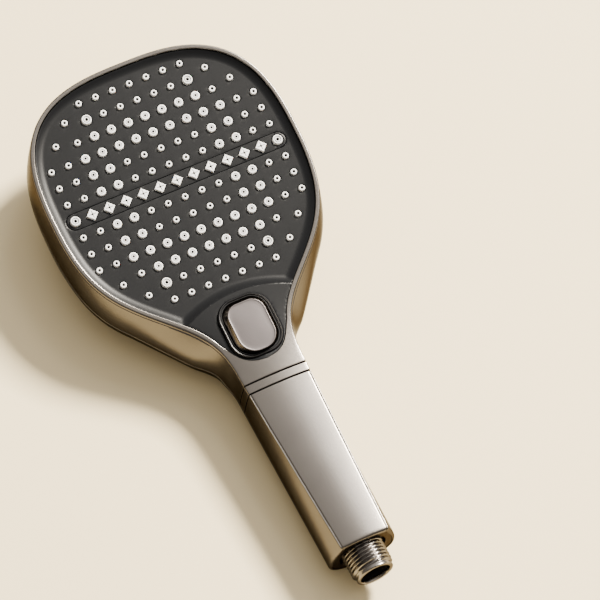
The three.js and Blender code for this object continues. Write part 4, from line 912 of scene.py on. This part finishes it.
def diamond_loop(x, radius, corner=0.35):
    """A square standing on its corner, slightly rounded, about (x, 0)."""
    half = radius / math.sqrt(2)
    square = rounded_rectangle(half, half, corner, corner, 0, 4, 4)
    turn = math.sqrt(0.5)
    return square @ np.array([[turn, turn], [-turn, turn]]) + (x, 0)


MAT_TOP = PLATE_BOTTOM - GAP
MAT_THICKNESS = 1.5
MAT_INSET = 4.2
MAT_END_Y = 58
BAR_THICKNESS = 1.4
BAR_HALF_LENGTH, BAR_HALF_WIDTH, BAR_CORNER = 51, 3.6, 3.5
NOZZLE_FOOT = MAT_TOP - 0.6
# For each kind of nozzle: (radius, z) from its foot to the bottom of the water's hole, and
# the material of each stretch between them: white silicone, grey that is painted shade in the
# grooves and on the slopes into the hole, or dark that is painted shade down the water's hole.
NOZZLES = {
    "small": ([
        (1.62, NOZZLE_FOOT), (1.6, -1.5), (1.55, -0.45), (1.44, -0.16), (1.25, -0.02), (1.05, 0),
        (0.86, -0.04), (0.76, -0.14), (0.68, -0.3), (0.6, -0.36), (0.54, -0.5), (0.52, -1.6),
    ], [0] * 7 + [1, 1, 2, 2]),
    "medium": ([
        (2.28, NOZZLE_FOOT), (2.25, -1.5), (2.2, -0.5), (2.08, -0.18), (1.86, -0.03), (1.6, 0),
        (1.4, -0.03), (1.32, -0.2), (1.02, -0.22), (0.94, -0.05), (0.8, -0.02), (0.68, -0.05),
        (0.56, -0.16), (0.46, -0.3), (0.4, -1.5),
    ], [0] * 6 + [1, 1, 1, 0, 0, 1, 2, 2]),
    "jet": ([
        (3.1, MAT_TOP - BAR_THICKNESS), (3.1, MAT_TOP), (2.55, MAT_TOP + 0.1), (2.5, -1.2),
        (2.46, -0.35), (2.32, -0.05), (2.1, 0.12), (1.9, 0.12), (1.72, 0.0), (1.62, -0.35),
        (1.4, -0.38), (1.28, -0.1), (1.1, 0.02), (0.92, -0.02), (0.76, -0.2), (0.68, -0.6), (0.62, -2.2),
    ], [0] * 8 + [1, 1, 1, 0, 0, 0, 2, 2]),
}


def nozzle_mat(finishes):
    outline = face_outline(RIM_WIDTH + MAT_INSET, 3)
    outline = outline[outline[:, 1] > -MAT_END_Y]
    meshes = [loops_mesh([level(outline, MAT_TOP - MAT_THICKNESS), level(outline, MAT_TOP)])]
    for kind in ("small", "medium"):
        profile, shades = NOZZLES[kind]
        meshes += [revolved(profile, 20, x, y, shades) for x, y in nozzle_places(kind)]
    piece("nozzle_mat", joined(meshes), finishes, HEAD)


def diamond_nozzle(x, count=25):
    """A diamond nozzle at x: a rounded edge, grooves to its corners and the water's hole."""
    half = DIAMOND_RADIUS / math.sqrt(2)
    turn = math.sqrt(0.5)
    groove_width, groove_depth, groove_from, groove_to = 0.3, 0.3, 0.4, 1.9
    edge_width, edge_drop, hole_radius, hole_depth = 0.35, 0.28, 0.52, 1.0
    p, q = np.meshgrid(np.linspace(-half, half, count), np.linspace(-half, half, count))
    reach = np.hypot(p, q)
    edge = np.maximum(np.abs(p), np.abs(q))
    groove = np.minimum(np.abs(p - q), np.abs(p + q)) * turn
    z = -groove_depth * np.clip(1 - groove / groove_width, 0, 1)
    z = z * (reach < groove_to) * (reach > groove_from)
    z -= edge_drop * np.clip((edge - half + edge_width) / edge_width, 0, 1) ** 2
    z = np.where(reach < hole_radius, -hole_depth, z)
    top = np.stack([(p * turn - q * turn) + x, p * turn + q * turn, z], axis=2).reshape(-1, 3)
    faces, parts = [], []
    for i in range(count - 1):
        for j in range(count - 1):
            faces.append(grid_quad(i, j, count))
            middle = reach[i:i + 2, j:j + 2].mean()
            in_groove = groove[i:i + 2, j:j + 2].mean() < 0.16 and middle < groove_to
            # Grey in the grooves and dark round the water's hole are painted shade.
            parts.append(2 if middle < 0.6 else (1 if in_groove else 0))
    grid = np.arange(count * count).reshape(count, count)
    rim = [*grid[0], *grid[1:, -1], *grid[-1, -2::-1], *grid[-2:0:-1, 0]]
    base = len(top) + np.arange(len(rim))
    faces += zip(np.roll(rim, -1), rim, base, np.roll(base, -1))
    faces.append(tuple(base))
    parts += [0] * (len(rim) + 1)
    return np.vstack([top, level(top[rim, :2], NOZZLE_FOOT)]), faces, parts


def diamond_nozzle_bar(finishes):
    """Eleven diamond nozzles on one bar."""
    bar = rounded_rectangle(BAR_HALF_LENGTH, BAR_HALF_WIDTH, BAR_CORNER, BAR_CORNER, 0, 8, 20)
    meshes = [loops_mesh([level(bar, MAT_TOP - BAR_THICKNESS), level(bar, MAT_TOP - 0.1)])]
    meshes += [diamond_nozzle(column * PITCH) for column in DIAMOND_COLUMNS]
    piece("diamond_nozzle_bar", joined(meshes), finishes, HEAD)


def jet_nozzles(finishes):
    """Six large jets: a white rim, a groove painted grey as its shade, a cone and the hole painted dark
    as its shade.
    """
    profile, shades = NOZZLES["jet"]
    for number, (column, row) in enumerate(JET_PLACES, 1):
        jet = revolved(profile, 40, column * PITCH, row * PITCH, shades)
        piece(f"jet_nozzle_{number}", jet, finishes, HEAD)


# ---- Button

def between(outer, inner, share):
    return outer * (1 - share) + inner * share


def button_bezel(finishes):
    outer, inner = button_outline(BEZEL), button_outline(CAP_BASE, GAP)
    profile = [
        (0, PLATE_BOTTOM), (0, 2.1), (0.04, 2.45), (0.14, 2.8), (0.28, 2.97), (0.4, 2.9),
        (0.5, 2.6), (0.6, 2.2), (0.7, 2.12), (0.78, 2.3), (0.86, 2.52), (0.94, 2.52), (1, 2.35),
        (1, PLATE_BOTTOM),
    ]
    loops = [level(between(outer, inner, share), z) for share, z in profile]
    piece("button_bezel", loops_mesh(loops, closed=True), finishes, HEAD)


def button_cap(finishes):
    """A skirt that leans in from its base, and a rim and a slightly crowned top."""
    base, top = button_outline(CAP_BASE), button_outline(CAP_TOP)
    skirt = [(0, -0.2), (0, 1.7), (0.05, 2.15), (0.2, 2.75), (0.45, 3.5), (0.7, 4.2), (0.88, 4.75),
             (0.97, 5.0), (1, 5.08)]
    rim = [(0.12, 5.18), (0.3, 5.24), (0.5, 5.22), (0.75, 5.16), (1.1, 5.14)]
    rings = (0.85, 0.65, 0.45, 0.25, 0.1)
    loops = [level(between(base, top, share), z) for share, z in skirt]
    loops += [level(button_outline(CAP_TOP, -inset), z) for inset, z in rim]
    centre = np.array([0, -BUTTON_Y - CAP_TOP[-1]])
    last_inset, last_z = rim[-1]
    last = button_outline(CAP_TOP, -last_inset)
    loops += [level(centre + (last - centre) * scale, last_z + 0.16 * (1 - scale**2)) for scale in rings]
    shades = [0] * (len(skirt) - 1) + [1] * (len(rim) + len(rings))
    skin = loops_mesh(loops, parts=shades)
    piece("button_cap", skin, finishes, HEAD, "button")


SPRING_FOOT, SPRING_TOP = -6.0, -0.5


def button_spring(finishes):
    """Return spring between the valve's lid and the cap."""
    low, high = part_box("button_spring")
    turns, wire, sides, steps_per_turn = 3.5, 0.45, 10, 36
    radius = (high.x - low.x) / 2 / MM - wire
    centre = np.array([0.0, -BUTTON_Y])
    bottom, top = SPRING_FOOT + wire, SPRING_TOP - wire
    steps = int(turns * steps_per_turn)
    loops = []
    for k in range(steps + 1):
        share = k / steps
        angle = 2 * math.pi * turns * share
        radial = np.array([math.cos(angle), math.sin(angle), 0])
        middle = radial * radius + (0, 0, bottom + (top - bottom) * share)
        section = 2 * math.pi * np.arange(sides) / sides
        loop = middle + wire * (np.cos(section)[:, None] * radial + np.sin(section)[:, None] * (0, 0, 1))
        loops.append(loop + (*centre, 0))
    spring = piece("button_spring", loops_mesh(loops), finishes, HEAD)
    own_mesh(spring)


# ---- Inlet

LEAD_LENGTH = 1.9  # plain end beyond the thread
INLET_INSIDE = 8  # length inside the grip


def inlet_connector(finishes):
    """Threaded inlet: a helical thread, a plain lead ring and the bore."""
    angle = 2 * math.pi * np.arange(120) / 120
    root = THREAD_RADIUS - THREAD_DEPTH
    start, end = GRIP_END_Y - END_DISH + GAP, GRIP_END_Y + THREAD_END
    thread_end = end - LEAD_LENGTH
    foot = start - INLET_INSIDE

    def thread(y):
        phase = ((y - thread_end) / THREAD_PITCH - angle / (2 * math.pi)) % 1
        height = np.clip(1.25 * (1 - 2 * np.abs(phase - 0.5)) - 0.1, 0, 1)
        height = height * height * (3 - 2 * height) * 0.4 + height * 0.6
        ends = np.clip((thread_end - y) / 1.2, 0, 1) * np.clip((y - start) / 0.8, 0, 1)
        return root + THREAD_DEPTH * height * ends

    outside = [(root, foot)]
    outside += [(thread(y), y) for y in np.arange(start, thread_end + 0.01, 0.13)]
    outside += [(root, end - 1.7), (root + 0.1, end - 1.5), (root + 0.1, end - 0.45),
                (root - 0.15, end - 0.12), (root - 0.45, end), (INLET_BORE + 0.5, end),
                (INLET_BORE + 0.18, end - 0.1), (INLET_BORE, end - 0.4)]
    bore = [(INLET_BORE, y) for y in (end - 2, end - 6, foot)]
    loops = [axis_loop(np.cos(angle), np.sin(angle), radius, y) for radius, y in outside + bore]
    # The bore gets the dark material, painted shade down the hole.
    shades = [0] * len(outside) + [1] * len(bore)
    skin = loops_mesh(loops, closed=True, parts=shades)
    piece("inlet_connector", skin, finishes, PART)


# ---- Materials

METAL_EDGE_TINT = (0.3, 0.285, 0.265, 1)
SOFT_RADIUS = (0.002, 0.0015, 0.0012)
RELIEF_DEPTH = 0.0004


def put(node, **values):
    """Sets a node's inputs, whose names are given with _ for a space."""
    for key, value in values.items():
        node.inputs[key.replace("_", " ")].default_value = value


def grained(name, light, dark, roughness, metallic=0.0, cloud=60.0, grain=2500.0, bump=0.02,
            soft=0.0, shine=0.5):
    """A material whose colour, gloss and surface vary: broad clouds and a fine grain."""
    finish = bpy.data.materials.new(name)
    finish.use_nodes = True
    nodes, links = finish.node_tree.nodes, finish.node_tree.links
    shader = nodes["Principled BSDF"]
    put(shader, Metallic=metallic, Specular_IOR_Level=shine)
    if metallic:
        put(shader, Specular_Tint=METAL_EDGE_TINT)
    if soft:
        put(shader, Subsurface_Weight=soft, Subsurface_Radius=SOFT_RADIUS)
    place = nodes.new("ShaderNodeTexCoord")

    def noise(scale, detail):
        made = nodes.new("ShaderNodeTexNoise")
        put(made, Scale=scale, Detail=detail)
        links.new(place.outputs["Object"], made.inputs["Vector"])
        return made.outputs["Fac"]

    def spread(value, low, high, to=(0, 1)):
        made = nodes.new("ShaderNodeMapRange")
        put(made, From_Min=low, From_Max=high, To_Min=to[0], To_Max=to[1])
        links.new(value, made.inputs["Value"])
        return made.outputs["Result"]

    clouds, fine = noise(cloud, 6), noise(grain, 3)
    tint = nodes.new("ShaderNodeMix")
    tint.data_type = "RGBA"
    tint.inputs[6].default_value = (*dark, 1)
    tint.inputs[7].default_value = (*light, 1)
    links.new(spread(clouds, 0.35, 0.65), tint.inputs[0])
    links.new(tint.outputs[2], shader.inputs["Base Color"])
    links.new(spread(fine, 0.3, 0.7, roughness), shader.inputs["Roughness"])
    relief = nodes.new("ShaderNodeBump")
    put(relief, Strength=bump, Distance=RELIEF_DEPTH)
    links.new(fine, relief.inputs["Height"])
    links.new(relief.outputs["Normal"], shader.inputs["Normal"])
    return finish


PLATED = grained("gunmetal_plating", (0.135, 0.123, 0.11), (0.12, 0.109, 0.098), (0.2, 0.26), 1.0,
                 30, 1800, 0.02)
INLET_METAL = grained("inlet_plating", (0.23, 0.215, 0.2), (0.19, 0.177, 0.165), (0.17, 0.22), 1.0,
                      60, 2200, 0.012)
# Dark for the inlet's bore, where it is painted shade; also the flow regulator's own dark colour.
BORE_SHADE_AND_REGULATOR = grained("bore_painted_shade_and_regulator", (0.03, 0.028, 0.026), (0.015, 0.014, 0.013), (0.45, 0.6), 0.6)
END_PLASTIC = grained("end_plating", (0.1, 0.09, 0.08), (0.085, 0.076, 0.068), (0.24, 0.32), 1.0)
FACE_PLASTIC = grained("face_plastic", (0.0046, 0.0049, 0.0056), (0.0038, 0.0041, 0.0048), (0.32, 0.38),
                       0.0, 25, 3200, 0.05, shine=0.12)
SATIN = grained("button_satin", (0.092, 0.083, 0.083), (0.083, 0.075, 0.075), (0.36, 0.42), 1.0,
                40, 4000, 0.04)
SKIRT = grained("button_skirt", (0.12, 0.107, 0.096), (0.105, 0.095, 0.085), (0.18, 0.24), 1.0)
BEZEL_BLACK = grained("bezel_black", (0.016, 0.016, 0.017), (0.011, 0.011, 0.012), (0.3, 0.38),
                      shine=0.3)
SILICONE = grained("silicone_white", (0.86, 0.86, 0.85), (0.76, 0.76, 0.75), (0.42, 0.52), 0.0, 120, 2600,
                   0.06, soft=0.05)
# Grey for the nozzles' grooves and the slopes into their holes: painted shade.
SILICONE_GROOVE_SHADE = grained("silicone_painted_groove_shade", (0.36, 0.36, 0.36), (0.28, 0.28, 0.28), (0.5, 0.6))
# Dark for the nozzles' water holes: painted shade.
NOZZLE_HOLE_SHADE = grained("nozzle_hole_painted_shade", (0.1, 0.1, 0.1), (0.05, 0.05, 0.05), (0.6, 0.7))
ACETAL = grained("white_acetal", (0.8, 0.8, 0.77), (0.72, 0.72, 0.69), (0.4, 0.5))
BLUE_ACETAL = grained("blue_acetal", (0.2, 0.3, 0.38), (0.16, 0.25, 0.32), (0.4, 0.5))
RUBBER = grained("black_rubber", (0.025, 0.025, 0.025), (0.015, 0.015, 0.015), (0.6, 0.75), bump=0.15)
STEEL = grained("steel", (0.6, 0.61, 0.62), (0.5, 0.51, 0.52), (0.25, 0.35), 1.0)
DARK_MESH = grained("screen_steel", (0.06, 0.06, 0.06), (0.03, 0.03, 0.03), (0.4, 0.5), 0.7)

INNER_FINISHES = [
    (ACETAL, """button_plunger valve_cap valve_body selector_disc chamber_tray channel_cover
                water_tube grip_bush"""),
    (BLUE_ACETAL, "ratchet_wheel"),
    (RUBBER, """plunger_seal valve_seat chamber_gasket tube_seal_front tube_seal_rear
                connector_seal"""),
    (STEEL, """valve_cap_screw_1 valve_cap_screw_2 valve_cap_screw_3 drive_spindle
               body_screw_left body_screw_right connector_clip"""),
    # This dark is the flow regulator's own colour here, and painted shade in the inlet's bore.
    (BORE_SHADE_AND_REGULATOR, "flow_regulator"),
    (DARK_MESH, "inlet_screen"),
]


def finish_inner_nodes():
    """The nodes inside keep their CAD solids and get a material each."""
    for finish, names in INNER_FINISHES:
        for name in names.split():
            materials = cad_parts[name].data.materials
            materials.clear()
            materials.append(finish)


# ---- Camera, light and floor

VIEW_AZIMUTH = math.radians(-35.35)
VIEW_ELEVATION = math.radians(62.44)
VIEW_ROLL = math.radians(9.58)
VIEW_DISTANCE = 2.4535
FACE_IN_VIEW = (-0.0588, 0.0575)  # middle of the spray face, right of and above the view's axis
LENS = 307.5


def camera():
    flat, rise = math.cos(VIEW_ELEVATION), math.sin(VIEW_ELEVATION)
    back = Vector((math.sin(VIEW_AZIMUTH) * flat, -math.cos(VIEW_AZIMUTH) * flat, rise))
    level_right = Vector((math.cos(VIEW_AZIMUTH), math.sin(VIEW_AZIMUTH), 0))
    level_up = back.cross(level_right)
    right = level_right * math.cos(VIEW_ROLL) + level_up * math.sin(VIEW_ROLL)
    up = back.cross(right)
    place = FACE_CENTRE + back * VIEW_DISTANCE - right * FACE_IN_VIEW[0] - up * FACE_IN_VIEW[1]
    data = bpy.data.cameras.new("camera")
    data.lens = LENS
    data.sensor_width = 36
    thing = add_object("camera", data)
    thing.matrix_world = Matrix.Translation(place) @ Matrix((right, up, back)).transposed().to_4x4()
    bpy.context.scene.camera = thing


KEY_PLACE = (3.0, 1.32, 3.12)
KEY_SIZE = 1.0
KEY_POWER = 1200
KEY_COLOUR = (1.0, 0.93, 0.82)
WINDOW_TOWARD = (0.389, 0.377, 0.84)
# How near a direction is to the window's, and the room's colour that way.
ROOM_SHADES = [
    (0.0, (0.02, 0.018, 0.0155)), (0.4, (0.028, 0.0255, 0.022)), (0.7, (0.045, 0.042, 0.038)),
    (0.9, (0.08, 0.076, 0.071)), (0.993, (0.1, 0.095, 0.089)), (1.0, (1.0, 0.98, 0.95)),
]
ROOM_STRENGTH = 18
FLOOR_HALF = 3.0
FLOOR_DROP = 0.0002  # under the casing, so that the two do not coincide


def key_light():
    """A warm key from the right."""
    data = bpy.data.lights.new("key", "AREA")
    data.shape = "RECTANGLE"
    data.size = data.size_y = KEY_SIZE
    data.energy = KEY_POWER
    data.color = KEY_COLOUR
    thing = add_object("key", data)
    thing.location = KEY_PLACE
    thing.rotation_euler = (-Vector(KEY_PLACE)).to_track_quat("-Z", "Y").to_euler()


def room():
    """A dim warm room with one small bright window overhead."""
    world = bpy.data.worlds.new("studio")
    bpy.context.scene.world = world
    world.use_nodes = True
    nodes, links = world.node_tree.nodes, world.node_tree.links
    backdrop = nodes["Background"]
    direction = nodes.new("ShaderNodeTexCoord")
    toward = nodes.new("ShaderNodeVectorMath")
    toward.operation = "DOT_PRODUCT"
    toward.inputs[1].default_value = WINDOW_TOWARD
    ramp = nodes.new("ShaderNodeValToRGB")
    links.new(direction.outputs["Generated"], toward.inputs[0])
    links.new(toward.outputs["Value"], ramp.inputs["Fac"])
    stops = ramp.color_ramp.elements
    stops.remove(stops[1])
    stops[0].position, stops[0].color = ROOM_SHADES[0][0], (*ROOM_SHADES[0][1], 1)
    for position, shade in ROOM_SHADES[1:]:
        stops.new(position).color = (*shade, 1)
    links.new(ramp.outputs["Color"], backdrop.inputs["Color"])
    backdrop.inputs["Strength"].default_value = ROOM_STRENGTH


def floor():
    mesh = bpy.data.meshes.new("floor")
    corners = [(-1, -1), (1, -1), (1, 1), (-1, 1)]
    points = [(x * FLOOR_HALF, y * FLOOR_HALF, -FLOOR_DROP) for x, y in corners]
    mesh.from_pydata(points, [], [(0, 1, 2, 3)])
    mesh.materials.append(grained("floor_paint", (0.79, 0.66, 0.4), (0.775, 0.645, 0.388), (0.6, 0.7),
                                  cloud=3, grain=300))
    add_object("floor", mesh)


# ---- Scene

camera()
key_light()
room()
floor()
front_casing([PLATED])
handle_band([PLATED])
handle_front_panel([PLATED])
back_shell([PLATED])
end_cap([END_PLASTIC])
face_plate([FACE_PLASTIC])
centre_strip([FACE_PLASTIC])
nozzle_mat([SILICONE, SILICONE_GROOVE_SHADE, NOZZLE_HOLE_SHADE])
diamond_nozzle_bar([SILICONE, SILICONE_GROOVE_SHADE, NOZZLE_HOLE_SHADE])
jet_nozzles([SILICONE, SILICONE_GROOVE_SHADE, NOZZLE_HOLE_SHADE])
button_bezel([BEZEL_BLACK])
button_cap([SKIRT, SATIN])
button_spring([STEEL])
inlet_connector([INLET_METAL, BORE_SHADE_AND_REGULATOR])
finish_inner_nodes()
